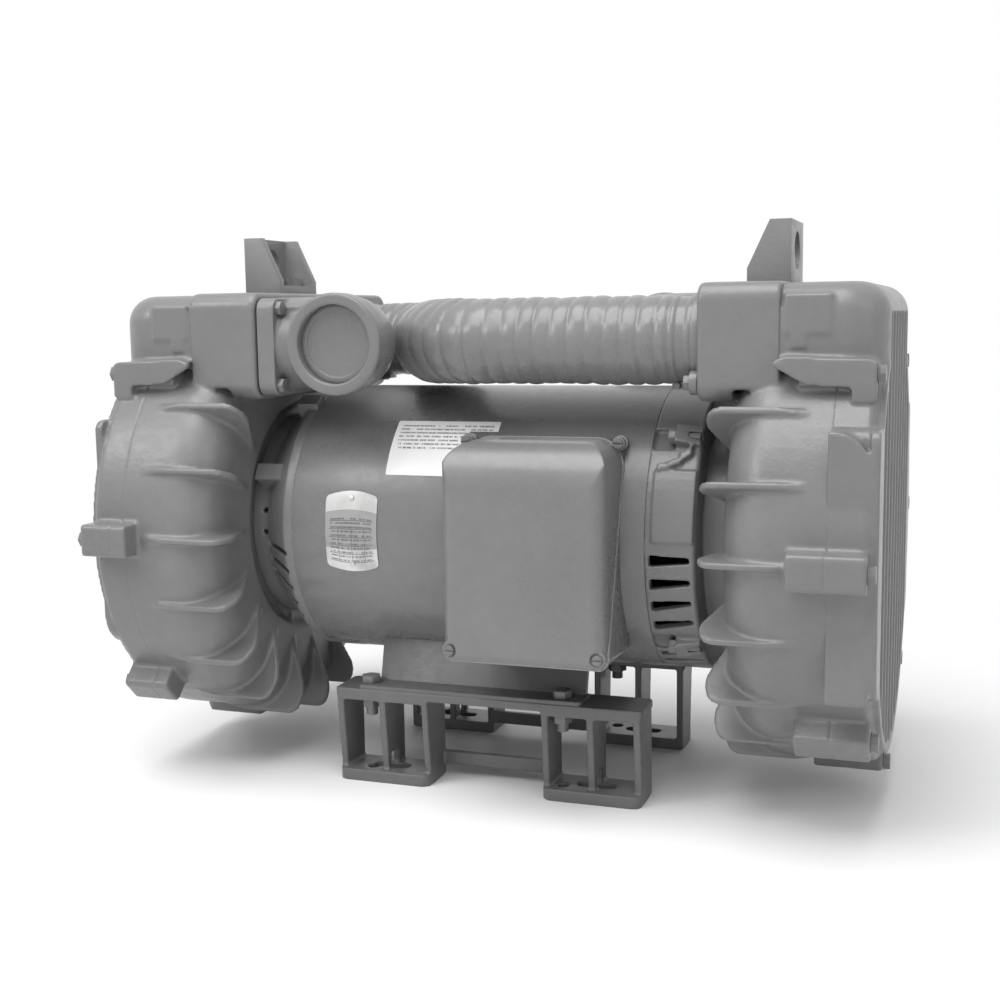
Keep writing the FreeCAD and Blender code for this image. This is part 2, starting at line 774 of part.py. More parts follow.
def housing():
    """Motor side casting: ring, ribs, lugs and the inner half of the port block."""
    reach = (block_x, block_split_x)
    block = box(reach, (-block_half_width, block_half_width), block_z)
    block = rounded(block, 16.0, lambda b: along("x", b))
    block = rounded(block, 5.0, lambda b: b.XMax < block_x + 0.1)
    block = block.cut(port_chambers()).cut(rod(ring_radius - 5, (ring_face_x + 2, block_split_x + 1)))
    ports = [rod(port_radius, (block_x - 1, block_x + block_wall + 1), side * port_y, port_z)
             for side in (-1, 1)]
    block = block.cut(Part.makeCompound(ports)).cut(rod(neck_radius + 6, (block_x - 1, face_x)))
    pieces = [ring_casting(), block]
    step = 360.0 / rib_count
    for k in range(rib_count):
        angle = k * step
        if not 40 < angle % 360 < 140:
            pieces.append(around(rib(), angle))
    pieces += [lug((lug_x[0], parting_x), angle) for angle in lug_angles()]
    boss = lip_boss(0)
    pieces += [boss, rear(boss)]
    body = joined(pieces)
    stripper = box((channel_floor_motor - 2, parting_x), (-14, 14),
                   (shaft_height + channel_inner - 4, shaft_height + ring_radius - 6))
    swept = rod(impeller_radius + 1.2, (impeller_x - vane_half_width - 1.2, parting_x + 1))
    body = body.fuse(stripper.cut(swept)).cut(port_windows())
    land = box((200, 400), (-14, 14), (shaft_height + channel_inner - 6, shaft_height + 220))
    void = channel_void().cut(land)
    body = body.cut(void)
    return body.cut(face_bolt_holes()).cut(cover_bolt_holes()).cut(flange_bolt_holes())


def cover_bolt_holes():
    return Part.makeCompound([rod(cover_bolt + 0.1, (rear_lug_start + 1, lug_x[1] + 1), y, z)
                              for y, z in bolt_places()])


def cover():
    """Outer casting: half channel, flat end plate with a front bulge, and the block's outer half."""
    drum = rod(ring_radius, (parting_x, cover_face_x))
    drum = rounded(drum, 6.0, lambda b: b.XMin > cover_face_x - 0.1)
    drum = drum.fuse(rod(ring_radius - 8, (parting_x, cover_tip_x)))
    rim = (cover_tip_x - plate_thick, cover_tip_x)
    plate = side_plate(rim, (-plate_half_width, -ring_radius / 2))
    rear_plate = rear(side_plate(rim, (-plate_rear_width, -ring_radius / 2)))
    low = side_plate((parting_x, cover_tip_x), (-plate_half_width + bulge_height, -ring_radius / 2))
    half = block_half_width - block_step
    top = block_z[1] - block_step
    block = box((block_split_x, cover_tip_x), (-half, half), (block_z[0], top))
    block = rounded(block, block_end_corner, lambda b: along("z", b) and b.XMin > cover_face_x)
    block = rounded(block, block_end_top, lambda b: b.ZMin > top - 0.1 and b.XMax > block_split_x + 1)
    block = block.cut(port_chambers())
    pieces = [drum, plate, rear_plate, low, bulge(), block]
    pieces += [lug((parting_x, lug_x[1]), angle) for angle in lug_angles()]
    pieces += [lip(), rear(lip())]
    pieces.append(tube(channel_inner, 112, (326, parting_x + 2)))
    body = joined(pieces)
    stripper = box((parting_x, channel_floor_cover + 2), (-14, 14),
                   (shaft_height + channel_inner - 4, shaft_height + ring_radius - ring_wall + 1))
    swept = rod(impeller_radius + 1.2, (parting_x - 2, parting_x + 0.8))
    inside = channel_void().cut(stripper.cut(swept))
    land = tube(channel_inner, 112, (320, parting_x))
    ring_room = tube(ring_radius + hole_clearance, channel_inner, (block_split_x - 10, parting_x))
    side = block_half_width + hole_clearance
    ring_room = ring_room.fuse(box((block_x, block_split_x), (-side, side), block_z))
    body = body.cut(inside.cut(land)).cut(ring_room).cut(cover_grooves())
    boss_room = lip_boss(0.4)
    return body.cut(cover_bolt_holes()).cut(boss_room).cut(rear(boss_room))


def side_plate(x, y):
    """Upright plate with a tight upper and a wide lower front corner, seen along the shaft."""
    corners = [(y[0], plate_z[0], 34), (y[0], plate_z[1], 10), (y[1], plate_z[1]), (y[1], plate_z[0])]
    return outline(corners, lambda a, b: Vector(x[0], a, b)).extrude(Vector(x[1] - x[0], 0, 0))


def bulge():
    """Raised front of the cover, with one wide upper corner towards the fins."""
    x = (parting_x, cover_tip_x - plate_thick)
    z = (plate_z[0] + 1, plate_z[1] - 1)
    corners = [(x[0], z[0]), (x[0], z[1]), (x[1] + 1, z[1], bulge_corner), (x[1] + 1, z[0], 6)]
    face = outline(corners, lambda a, b: Vector(a, -plate_half_width, b))
    return face.extrude(Vector(0, bulge_height + 2, 0))


def cover_grooves():
    """Upright grooves in the cover's face; the metal left between them is the fins."""
    depth = (cover_face_x, cover_tip_x + 1)
    half = block_half_width - block_end_corner - 4
    room = joined([rod(200, depth), box(depth, (-half, half), (shaft_height, block_z[1] - block_end_top))])
    gap = fin_pitch - fin_thickness
    grooves = []
    for k in range(9):
        middle = (k - 4) * fin_pitch
        slot = box(depth, (middle - gap / 2, middle + gap / 2), (0, 600)).common(room)
        grooves.append(slot)
    return Part.makeCompound(grooves)


def lip():
    """Stepped lip of the block's outer half, lying over the ring."""
    low = lip_low
    corners = [(285, low + 35, 3), (318, low + 16, 6), (356, low + 14, 3), (356, low + 2, 2),
               (lug_x[1], low + 2, 2), (lug_x[1], low + 38, 6), (block_split_x + 8, low + 41, 10)]
    face = outline(corners, lambda x, z: Vector(x, -lip_face, z))
    return face.extrude(Vector(0, 33, 0))


def lip_boss(gap):
    """Housing boss behind the lip, which takes the cover bolt; with a gap, its sliding room."""
    x = (block_split_x - 8, parting_x + gap) if gap else (lug_x[0], parting_x)
    z = (lip_low + 15 - 2 * gap, lip_low + 36 + gap)
    return box(x, (-lip_face + lip_thick - gap, -lip_face + 27 + gap), z)


def cover_bolts():
    bolts = []
    for y, z in bolt_places():
        washer = rod(9, (lug_x[1], lug_x[1] + 1.2), y, z)
        head = hexagon(14, (lug_x[1] + 1.1, lug_x[1] + 6.5), y, z)
        bolts.append(joined([washer, head, rod(cover_bolt, (rear_lug_start + 2, lug_x[1] + 1), y, z)]))
    return Part.makeCompound(bolts)


def face_bolts():
    """Bolts from inside the hub pocket that hold the housing to the motor face."""
    seat = face_x + face_flange
    bolts = []
    for y, z in face_bolt_places():
        head = hexagon(18, (seat, seat + 7), y, z)
        bolts.append(joined([head, rod(face_bolt, (face_x - 8, seat + 1), y, z)]))
    return Part.makeCompound(bolts)


def impeller():
    """Disc with a hub and a ring of radial vanes on both sides of its web."""
    x = impeller_x
    wide = vane_half_width
    half = [(19, shaft_end_radius), (19, 42), (6, 52), (6, vane_root - 2.4), (wide, vane_root - 2),
            (wide, vane_root + 2), (3, 150), (3, impeller_radius)]
    disc = lathe([(x + a, radius) for a, radius in half] + [(x - a, radius) for a, radius in reversed(half)])
    vane = box((x - vane_half_width, x + vane_half_width), (-impeller_radius, -vane_root),
               (shaft_height - vane_thickness / 2, shaft_height + vane_thickness / 2))
    body = joined([disc] + [around(vane, 360.0 / vane_count * k) for k in range(vane_count)])
    body = body.common(rod(impeller_radius, (x - 40, x + 40)))
    keyway = box((x - 20, x + 20), (-4, 4),
                 (shaft_height + shaft_end_radius - 5, shaft_height + shaft_end_radius + 4))
    return body.cut(keyway)


def impeller_key():
    return box(key_span(), (-4, 4),
               (shaft_height + shaft_end_radius - 4, shaft_height + shaft_end_radius + 4))


def impeller_bolt():
    """Bolt and thick washer that hold the impeller on the shaft end."""
    washer = tube(30, small_bolt + 0.2, (shaft_end_x, shaft_end_x + 4))
    bolt = joined([hexagon(13, (shaft_end_x + 4, shaft_end_x + 10), 0, shaft_height),
                   rod(small_bolt, (shaft_end_x - 28, shaft_end_x + 5))])
    return Part.makeCompound([washer, bolt])


def shaft_seal():
    return tube(32, seal_shaft_radius + seal_fit, (288, 296))


def silencer_foam():
    """Foam pads on the ceilings of the two ducts."""
    ceiling = block_z[1] - block_wall
    x = (block_x + block_wall + 2, block_split_x + 50)
    return Part.makeCompound([box(x, sorted((side * 75, side * 129)), (ceiling - 14, ceiling))
                              for side in (-1, 1)])


# Port fittings, right side; the front port takes the hose, the rear one an elbow

def flange_plate(x, side):
    plate = box(x, (side * port_y - flange_side / 2, side * port_y + flange_side / 2),
                (port_z - 3 - flange_side / 2, port_z - 3 + flange_side / 2))
    return rounded(plate, 12.0, lambda b: along("x", b))


def flange_bolt_places():
    reach = flange_side / 2 - 10
    return [(port_y + a * reach, port_z - 3 + b * reach) for a in (-1, 1) for b in (-1, 1)]


def flange_bolt_holes():
    return Part.makeCompound([rod(small_bolt + 0.1, (block_x - 30, block_x + block_wall + 1), y, z)
                              for y, z in flange_bolt_places() + spigot_bolt_places()])


def spigot():
    """Flanged pipe stub that carries one end of the hose."""
    flange = (block_x - spigot_flange, block_x)
    ears = [tube(11, small_bolt + 0.1, flange, y, z) for y, z in spigot_bolt_places()]
    pipe = rod(hose_inner, (flange[0] - spigot_length, flange[1]), -port_y, port_z)
    body = joined([rod(44, flange, -port_y, port_z), pipe] + ears)
    body = body.cut(rod(hose_inner - 4, (flange[0] - spigot_length - 1, flange[1] + 1), -port_y, port_z))
    return body.cut(Part.makeCompound([rod(small_bolt + 0.1, (flange[0] - 1, block_x + 1), y, z)
                                       for y, z in spigot_bolt_places()]))


def spigot_bolt_places():
    """Two bolts on a diagonal of the front port."""
    return [(-port_y - 36, port_z - 38), (-port_y + 36, port_z + 34)]


def flange_bolts(places, thick):
    bolts = []
    seat = block_x - thick
    for y, z in places:
        head = hexagon(13, (seat - 6, seat), y, z)
        bolts.append(joined([head, rod(small_bolt, (seat - 1, block_x + block_wall), y, z)]))
    return Part.makeCompound(bolts)


def port_bolts():
    """Bolts of both ports: the spigot's in front and the elbow's at the rear."""
    return Part.makeCompound([flange_bolts(spigot_bolt_places(), spigot_flange),
                              flange_bolts(flange_bolt_places(), elbow_flange + 1)])


def gasket(side):
    plate = flange_plate((block_x - 1.0, block_x), side)
    bore = rod(port_radius, (block_x - 2, block_x + 1), side * port_y, port_z)
    return plate.cut(bore).cut(flange_bolt_holes())


def bent_pipe(radius, start_x, face_y):
    """Solid pipe from the rear port, a quarter bend outwards, then straight to face_y."""
    bend_x = block_x - elbow_flange - 1 - elbow_straight
    straight = rod(radius, (bend_x, start_x), port_y, port_z)
    centre = Vector(bend_x, port_y + elbow_bend, port_z)
    ring = Part.Wire(Part.makeCircle(radius, Vector(bend_x, port_y, port_z), AXIS))
    bend = Part.Face(ring).revolve(centre, Vector(0, 0, 1), -90)
    out = peg(radius, (port_y + elbow_bend, face_y), bend_x - elbow_bend, port_z)
    return joined([straight, bend, out])


def elbow():
    """Cast elbow: square flange on the rear port, thick nozzle facing the rear."""
    seat = block_x - 1.0
    flange = flange_plate((seat - elbow_flange, seat), 1)
    outer = bent_pipe(elbow_radius, seat - 2, nozzle_face - 1)
    nozzle = peg(nozzle_radius, (nozzle_face - nozzle_ring, nozzle_face), nozzle_place(), port_z)
    nozzle = rounded(nozzle, 2.5, lambda b: b.YMin > nozzle_face - 0.1)
    body = joined([flange, outer, nozzle])
    body = body.cut(bent_pipe(elbow_bore, seat + 1, nozzle_face + 1))
    bolt_room = [rod(9.5, (seat - elbow_flange - 30, seat - elbow_flange), y, z)
                 for y, z in flange_bolt_places()]
    return body.cut(Part.makeCompound(bolt_room)).cut(flange_bolt_holes())


def nozzle_place():
    return block_x - elbow_flange - 1 - elbow_straight - elbow_bend


def plug():
    """Shipping plug of the rear nozzle's bore, with a low pull rim."""
    outside = nozzle_face - plug_recess
    disc = peg(elbow_bore - 0.1, (outside - plug_thick, outside), nozzle_place(), port_z)
    dish = peg(elbow_bore - 6, (outside - 1.5, outside + 1), nozzle_place(), port_z)
    return disc.cut(dish)


def lifting_lug():
    """Eye plate with two sloped gussets on a base, screwed to the block."""
    x = eye_x
    y = (eye_middle_y - eye_half_width, eye_middle_y + eye_half_width)
    base = box((x - eye_base_length, x), y, (block_z[1], block_z[1] + eye_plate))
    web = box((x - eye_plate, x), y, (block_z[1], eye_top))
    pieces = [base, web]
    for start in (y[0], y[1] - eye_plate):
        corners = [(x - eye_base_length, block_z[1]), (x, block_z[1]), (x, eye_top), (x - 20, eye_top),
                   (x - eye_base_length, block_z[1] + 14)]
        pieces.append(prism([Vector(a, start, b) for a, b in corners], Vector(0, eye_plate, 0)))
    body = joined(pieces).cut(rod(eye_hole_radius, (x - eye_plate - 3, x + 1), eye_middle_y, eye_hole_z))
    return body.cut(lug_screw_holes())


def lug_screw_places():
    return [(eye_x - eye_base_length / 2 - 4, eye_middle_y + side * eye_half_width / 2) for side in (-1, 1)]


def lug_screw_holes():
    return Part.makeCompound([post(face_bolt + 0.2, (block_z[1] - 26, block_z[1] + eye_plate + 3), x, y)
                              for x, y in lug_screw_places()])


def lug_screws():
    seat = block_z[1] + eye_plate
    screws = []
    for x, y in lug_screw_places():
        head = post(9, (seat, seat + 8), x, y).cut(upright_hexagon(10, (seat + 4, seat + 9), x, y))
        screws.append(joined([head, post(face_bolt, (block_z[1] - 25, seat + 1), x, y)]))
    return Part.makeCompound(screws)


def mirrored(shape):
    """The left copy of a piece that is a mirror image, not half a turn."""
    return shape.mirror(Vector(0, 0, 0), AXIS)


# Hose between the stages

def hose_path():
    """Straight runs and two equal opposite bends, from the right port to the left one."""
    turn = math.radians(hose_turn)
    start = block_x - spigot_flange
    points = [("line", start - hose_bend_x)]
    side_step = 2 * port_y - 2 * hose_bend * (1 - math.cos(turn))
    points.append(("bend", 1))
    points.append(("line", side_step / math.sin(turn)))
    points.append(("bend", -1))
    run = hose_bend_x - 2 * hose_bend * math.sin(turn) - side_step / math.tan(turn)
    points.append(("line", start + run))
    return points


def hose_places(step):
    """Centre points and directions along the hose, about one step apart."""
    place = Vector(block_x - spigot_flange, -port_y, port_z)
    heading = 180.0
    travelled = 0.0
    places = []
    due = step
    for kind, value in hose_path():
        length = value if kind == "line" else hose_bend * math.radians(hose_turn)
        while due <= travelled + length:
            run = due - travelled
            places.append(hose_point(place, heading, kind, value, run))
            due += step
        place, heading = hose_point(place, heading, kind, value, length)
        travelled += length
    return places, travelled


def hose_point(place, heading, kind, value, run):
    """Point and heading after a run along one straight or one bend."""
    angle = math.radians(heading)
    if kind == "line":
        return place + Vector(math.cos(angle), math.sin(angle), 0) * run, heading
    turn = -value * math.degrees(run / hose_bend)
    left = Vector(-math.sin(angle), math.cos(angle), 0) * (-value * hose_bend)
    centre = place + left
    spoke = FreeCAD.Rotation(Vector(0, 0, 1), turn).multVec(place - centre)
    return centre + spoke, heading + turn


def hose_solid(radius):
    """Solid of one radius along the whole hose."""
    place = Vector(block_x - spigot_flange, -port_y, port_z)
    heading = 180.0
    pieces = []
    for kind, value in hose_path():
        angle = math.radians(heading)
        ahead = Vector(math.cos(angle), math.sin(angle), 0)
        length = value if kind == "line" else hose_bend * math.radians(hose_turn)
        if kind == "line":
            pieces.append(Part.makeCylinder(radius, length, place, ahead))
        else:
            left = Vector(-math.sin(angle), math.cos(angle), 0) * (-value * hose_bend)
            disc = Part.Face(Part.Wire(Part.makeCircle(radius, place, ahead)))
            pieces.append(disc.revolve(place + left, Vector(0, 0, 1), -value * hose_turn))
        place, heading = hose_point(place, heading, kind, value, length)
    return joined(pieces)


def hose():
    """Corrugated hose: a thin wall with a ridge at every pitch between the clamps."""
    body = hose_solid(hose_outer)
    places, length = hose_places(hose_pitch)
    clear = spigot_length + hose_ridge_width
    ridges = []
    for k, (place, heading) in enumerate(places):
        travelled = (k + 1) * hose_pitch
        if not clear < travelled < length - clear:
            continue
        angle = math.radians(heading)
        ahead = Vector(math.cos(angle), math.sin(angle), 0)
        start = place - ahead * (hose_ridge_width / 2)
        ridges.append(Part.makeCylinder(hose_ridge, hose_ridge_width, start, ahead))
    return body.multiFuse(ridges).cut(hose_solid(hose_inner))


def hose_clamp():
    """Band clamp with its worm housing, near the right end of the hose."""
    x = (block_x - spigot_flange - 22, block_x - spigot_flange - 22 + clamp_width)
    outer = hose_outer + clamp_thick
    band = tube(outer, hose_outer, x, -port_y, port_z)
    worm = box((x[0] - 1, x[1] + 1), (-port_y - 9, -port_y + 9), (port_z - outer - 6, port_z - outer + 0.6))
    screw = peg(3.0, (-port_y - 15, -port_y - 8), sum(x) / 2, port_z - outer - 3)
    body = joined([band, worm, screw])
    return body.cut(rod(hose_outer, (x[0] - 2, x[1] + 2), -port_y, port_z))


def write(name, shape):
    shape.exportStep("parts/" + name + ".step")


def main():
    os.makedirs("parts", exist_ok=True)
    front_stand = stand()
    write("stand_front", front_stand)
    write("stand_rear", rear(front_stand))
    write("motor_foot", motor_foot())
    bolts, nuts = foot_fasteners()
    write("foot_bolts", bolts)
    write("foot_nuts", nuts)

    write("motor_frame", motor_frame())
    write("stator_core", stator_core())
    write("stator_windings", stator_windings())
    write("rotor_core", rotor_core())
    write("rotor_cage", rotor_cage())
    write("shaft", shaft())
    ball_sets = []
    for side, place in (("left", bearing_left_x), ("right", bearing_right_x)):
        outer, inner, balls = bearing(place)
        write("bearing_outer_" + side, outer)
        write("bearing_inner_" + side, inner)
        ball_sets.append(balls)
    write("bearing_balls", Part.makeCompound(ball_sets))
    write("end_bell_left", bell_left())
    write("end_bell_right", bell_right())
    write("bell_bolts", bell_bolts())

    write("conduit_box", conduit_box())
    write("conduit_gasket", conduit_gasket())
    write("conduit_cover", conduit_cover())
    write("conduit_screws", conduit_screws())
    write("terminal_block", terminal_block())
    write("nameplate", nameplate())
    write("nameplate_rivets", nameplate_rivets())
    write("data_label", data_label())

    stage = {"housing": housing(), "cover": cover(), "cover_bolts": cover_bolts(), "face_bolts": face_bolts(),
             "impeller": impeller(), "impeller_bolt": impeller_bolt(), "shaft_seal": shaft_seal(),
             "silencer_foam": silencer_foam(), "hose_spigot": spigot(),
             "port_bolts": port_bolts(), "hose_clamp": hose_clamp()}
    left = {name: turned(shape) for name, shape in stage.items()}
    stage["housing"] = stage["housing"].cut(lug_screw_holes())
    left["housing"] = left["housing"].cut(mirrored(lug_screw_holes()))
    for name in stage:
        write(name + "_right", stage[name])
        write(name + "_left", left[name])

    write("impeller_keys", Part.makeCompound([impeller_key(), turned(impeller_key())]))
    write("lifting_lug_right", lifting_lug())
    write("lifting_lug_left", mirrored(lifting_lug()))
    write("lug_screws", Part.makeCompound([lug_screws(), mirrored(lug_screws())]))
    for name, shape in {"elbow": elbow(), "gasket": gasket(1)}.items():
        write("outlet_" + name, shape)
        write("inlet_" + name, turned(shape))
    write("inlet_plug", turned(plug()))
    write("interstage_hose", hose())


main()
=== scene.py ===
import math

import bmesh
import bpy
from mathutils import Matrix, Vector, noise


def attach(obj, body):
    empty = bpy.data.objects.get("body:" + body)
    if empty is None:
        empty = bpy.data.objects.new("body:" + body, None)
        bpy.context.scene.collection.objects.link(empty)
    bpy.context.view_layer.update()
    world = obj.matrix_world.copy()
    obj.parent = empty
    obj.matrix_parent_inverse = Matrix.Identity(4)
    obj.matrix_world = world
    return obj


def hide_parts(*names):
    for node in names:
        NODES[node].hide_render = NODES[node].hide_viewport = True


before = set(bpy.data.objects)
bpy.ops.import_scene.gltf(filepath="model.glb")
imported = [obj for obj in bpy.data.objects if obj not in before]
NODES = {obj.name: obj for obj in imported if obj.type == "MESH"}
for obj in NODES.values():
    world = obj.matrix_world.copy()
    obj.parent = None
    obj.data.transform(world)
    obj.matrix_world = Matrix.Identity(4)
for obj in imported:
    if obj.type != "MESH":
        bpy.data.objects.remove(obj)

bl_info = {
    "name": "Regenerative blower",
    "version": (1, 0, 0),
    "blender": (4, 5, 0),
    "location": "3D View > Sidebar > Blower",
    "description": "Dresses a two-stage regenerative blower and sets its studio",
    "category": "Object",
}

PAINT = {}
MM = 0.001
WHITE = (1.0, 1.0, 1.0, 1.0)
HALF_TURN = Matrix.Rotation(math.pi, 4, "Z")

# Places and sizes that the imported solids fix
SHAFT_Z = 0.260
FRAME_RADIUS = 0.142
RING_PARTING_X = 343 * MM
BLOCK_PARTING_X, BLOCK_PARTING_LOW = 292 * MM, 395 * MM
HOSE_X, HOSE_Y, HOSE_Z = 213.0 * MM, 108.0 * MM, 450.0 * MM
HOSE_RADIUS, HOSE_BEND, HOSE_WALL = 37.0 * MM, 92.0 * MM, 2.2 * MM

# How far each rounded half of a ring casting reaches over its parting face
MEET = 1.5 * MM

# Voxel and most triangles of the remeshed pieces
PRESSING_GRAIN = 1.0 * MM
TRIANGLE_LIMIT, STAND_LIMIT, ELBOW_LIMIT = 190000, 150000, 120000

# Fields on the sides of the cover's block: middle (x, z) and size (x, z), in mm
BLOCK_FIELDS = (((317, 472), (40, 34)), ((309, 449), (12, 12)))
BLOCK_SIDE, FIELD_THICKNESS = 155.0, 6.5

# Pads on the right bell: ends along x and height over the frame in mm, angles and lean in degrees
BELL_PADS = (
    ((176, 215), (2, 29.5), 2.2, 0.0),
    ((178, 190), (29, 31.5), 4.5, 1.0),
    ((188, 200), (30, 32.5), 5.5, 2.0),
    ((198, 209), (32, 36), 6.0, 3.5),
)
BELL_PAD_ROOT = 137

# Plates on the motor frame: ends along x, thickness, corner and crown in mm, angles in degrees;
# the notch is a point (x, z) in metres
NAMEPLATE = {"ends": (-157.0, -101.0), "angles": (-12.6, 15.6), "thick": 0.8, "corner": 3.0,
             "crown": 5.8}
STICKER = {"ends": (-96.0, 13.0), "angles": (25.0, 51.0), "thick": 0.25, "corner": 1.0,
           "notch": (-16.5 * MM, 361.5 * MM)}
PLATE_CLEARANCE = 0.06 * MM

# Lamps: place and width in metres; all of them point at LAMP_TARGET
LAMPS = {
    "key": ((-1.8, -1.9, 2.0), 0.9),
    "fill": ((2.8, -1.2, 1.4), 1.8),
    "top": ((-0.3, -1.0, 2.9), 2.6),
}
LAMP_TARGET = (0.0, 0.0, 0.3)


# Sizes and colours that a user would change

class CastingSettings(bpy.types.PropertyGroup):
    grain: bpy.props.FloatProperty(
        name="Remesh size", description="Voxel that rounds the edges of the ring castings",
        default=1.9 * MM, min=0.5 * MM, unit="LENGTH")
    fine_grain: bpy.props.FloatProperty(
        name="Fine remesh size", description="Voxel for the elbows, end bells and stands",
        default=1.3 * MM, min=0.5 * MM, unit="LENGTH")
    soften: bpy.props.IntProperty(
        name="Softening", description="Smoothing passes on the ring castings", default=5, min=0)


class HoseSettings(bpy.types.PropertyGroup):
    pitch: bpy.props.FloatProperty(
        name="Ridge pitch", description="Distance from ridge to ridge",
        default=16.5 * MM, unit="LENGTH")
    ridge: bpy.props.FloatProperty(
        name="Ridge height", description="Height of a ridge over the valley",
        default=2.9 * MM, unit="LENGTH")
    crinkle: bpy.props.FloatProperty(
        name="Crinkle", description="Unevenness of the painted ridges",
        default=0.6 * MM, unit="LENGTH")


class PaintSettings(bpy.types.PropertyGroup):
    body: bpy.props.FloatVectorProperty(
        name="Body paint", description="Grey of castings, motor and hose", subtype="COLOR",
        default=(0.172, 0.172, 0.175), min=0, max=1)
    stand: bpy.props.FloatVectorProperty(
        name="Stand paint", description="Darker grey of the stands", subtype="COLOR",
        default=(0.118, 0.119, 0.121), min=0, max=1)
    gloss: bpy.props.FloatProperty(
        name="Roughness", description="Roughness of the satin paint", subtype="FACTOR",
        default=0.34, min=0, max=1)


class StudioSettings(bpy.types.PropertyGroup):
    key: bpy.props.FloatProperty(
        name="Key lamp", description="Power of the lamp on the left",
        default=17.0, min=0, unit="POWER")
    fill: bpy.props.FloatProperty(
        name="Fill lamp", description="Power of the soft lamp on the right",
        default=9.0, min=0, unit="POWER")
    top: bpy.props.FloatProperty(
        name="Top lamp", description="Power of the wide lamp overhead",
        default=82.0, min=0, unit="POWER")
    ambient: bpy.props.FloatProperty(
        name="Ambient", description="Strength of the white world", default=0.62, min=0)


# Shader maths

class Reading:
    """A number that changes over a surface; an expression on it adds Math nodes."""

    def __init__(self, finish, socket):
        self.finish = finish
        self.socket = socket

    def maths(self, operation, *values):
        return self.finish.node("ShaderNodeMath", {"operation": operation}, dict(enumerate(values)))

    def __add__(self, other):
        return self.maths("ADD", self, other)

    def __radd__(self, other):
        return self.maths("ADD", other, self)

    def __sub__(self, other):
        return self.maths("SUBTRACT", self, other)

    def __rsub__(self, other):
        return self.maths("SUBTRACT", other, self)

    def __mul__(self, other):
        return self.maths("MULTIPLY", self, other)

    def __rmul__(self, other):
        return self.maths("MULTIPLY", other, self)

    def __gt__(self, other):
        return self.maths("GREATER_THAN", self, other)

    def __lt__(self, other):
        return self.maths("LESS_THAN", self, other)

    def within(self, low, high):
        """1 between low and high, 0 elsewhere."""
        return (self > low) * (self < high)

    def ramp(self, low, high):
        """0 below low, 1 above high, smooth between."""
        return self.finish.node("ShaderNodeMapRange", {"interpolation_type": "SMOOTHSTEP"},
                                {"Value": self, "From Min": low, "From Max": high})


class Finish:
    """The nodes of one material, ending in a Principled BSDF."""

    def __init__(self, name, roughness, metallic=0.0):
        self.material = bpy.data.materials.new(name)
        self.material.use_nodes = True
        self.tree = self.material.node_tree
        self.shader = self.tree.nodes["Principled BSDF"]
        self.shader.inputs["Roughness"].default_value = roughness
        self.shader.inputs["Metallic"].default_value = metallic
        PAINT[name] = self.material

    def node(self, kind, settings, inputs, output=0):
        made = self.tree.nodes.new(kind)
        for key, value in settings.items():
            setattr(made, key, value)
        for key, value in inputs.items():
            self.feed(made.inputs[key], value)
        return Reading(self, made.outputs[output])

    def feed(self, socket, value):
        if isinstance(value, Reading):
            self.tree.links.new(value.socket, socket)
        else:
            socket.default_value = value

    def place(self):
        return self.node("ShaderNodeTexCoord", {}, {}, "Object")

    def noise(self, scale, detail, where=None):
        inputs = {"Vector": where or self.place(), "Scale": scale, "Detail": detail}
        return self.node("ShaderNodeTexNoise", {}, inputs, "Fac")

    def blend(self, mask, first, second):
        return self.node("ShaderNodeMix", {"data_type": "RGBA"}, {0: mask, 6: first, 7: second}, 2)

    def bump(self, height, distance, strength, normal=None):
        inputs = {"Height": height, "Distance": distance, "Strength": strength}
        if normal:
            inputs["Normal"] = normal
        return self.node("ShaderNodeBump", {}, inputs)

    def set(self, **inputs):
        for key, value in inputs.items():
            self.feed(self.shader.inputs[key.replace("_", " ")], value)


def rgb(colour, factor=1.0):
    return tuple(min(1.0, c * factor) for c in colour[:3]) + (1.0,)


def grey(value):
    return (value, value, value)


def satin_paint(name, colour, roughness, texture, wear_and_painted_light=False):
    """Sprayed satin paint: uneven tone, orange peel, cast grain under it, and, if asked, edges
    lightened partly as rubbed paint and partly as a painted highlight, with hollows darkened as painted
    shade.
    """
    f = Finish(name, roughness)
    cloud = f.noise(scale=7.0, detail=4.0).ramp(0.3, 0.7)
    speck = f.noise(scale=95.0, detail=3.0).ramp(0.35, 0.75)
    tone = f.blend(cloud, rgb(colour, 0.93), rgb(colour, 1.06))
    tone = f.blend(speck * 0.35, tone, rgb(colour, 0.86))
    if wear_and_painted_light:
        edge = f.node("ShaderNodeNewGeometry", {}, {}, "Pointiness")
        # Convex edges lighter: partly rubbed paint, partly a painted highlight
        tone = f.blend(edge.ramp(0.52, 0.62) * 0.45, tone, rgb(colour, 1.45))
        # Hollows and creases darker: painted shade
        tone = f.blend((1.0 - edge).ramp(0.53, 0.62) * 0.5, tone, rgb(colour, 0.62))
    peel = f.noise(scale=850.0, detail=2.0)
    grain = f.noise(scale=260.0, detail=5.0)
    bump = f.bump(grain, distance=texture, strength=0.55)
    bump = f.bump(peel, distance=0.1 * MM, strength=0.4, normal=bump)
    f.set(Base_Color=tone, Roughness=roughness + 0.16 * (cloud * 0.6 + speck * 0.4 - 0.5), Normal=bump)


def bare_metal(name, colour, roughness, texture=0.0):
    """Turned, plated or cast metal with a little tone in it."""
    f = Finish(name, roughness, metallic=1.0)
    cloud = f.noise(scale=60.0, detail=4.0).ramp(0.3, 0.7)
    scratch = f.noise(scale=900.0, detail=2.0)
    bump = f.bump(scratch, distance=0.04 * MM + texture, strength=0.5)
    f.set(Base_Color=f.blend(cloud, rgb(colour, 0.85), rgb(colour, 1.05)),
          Roughness=roughness + 0.2 * (scratch - 0.5), Normal=bump)


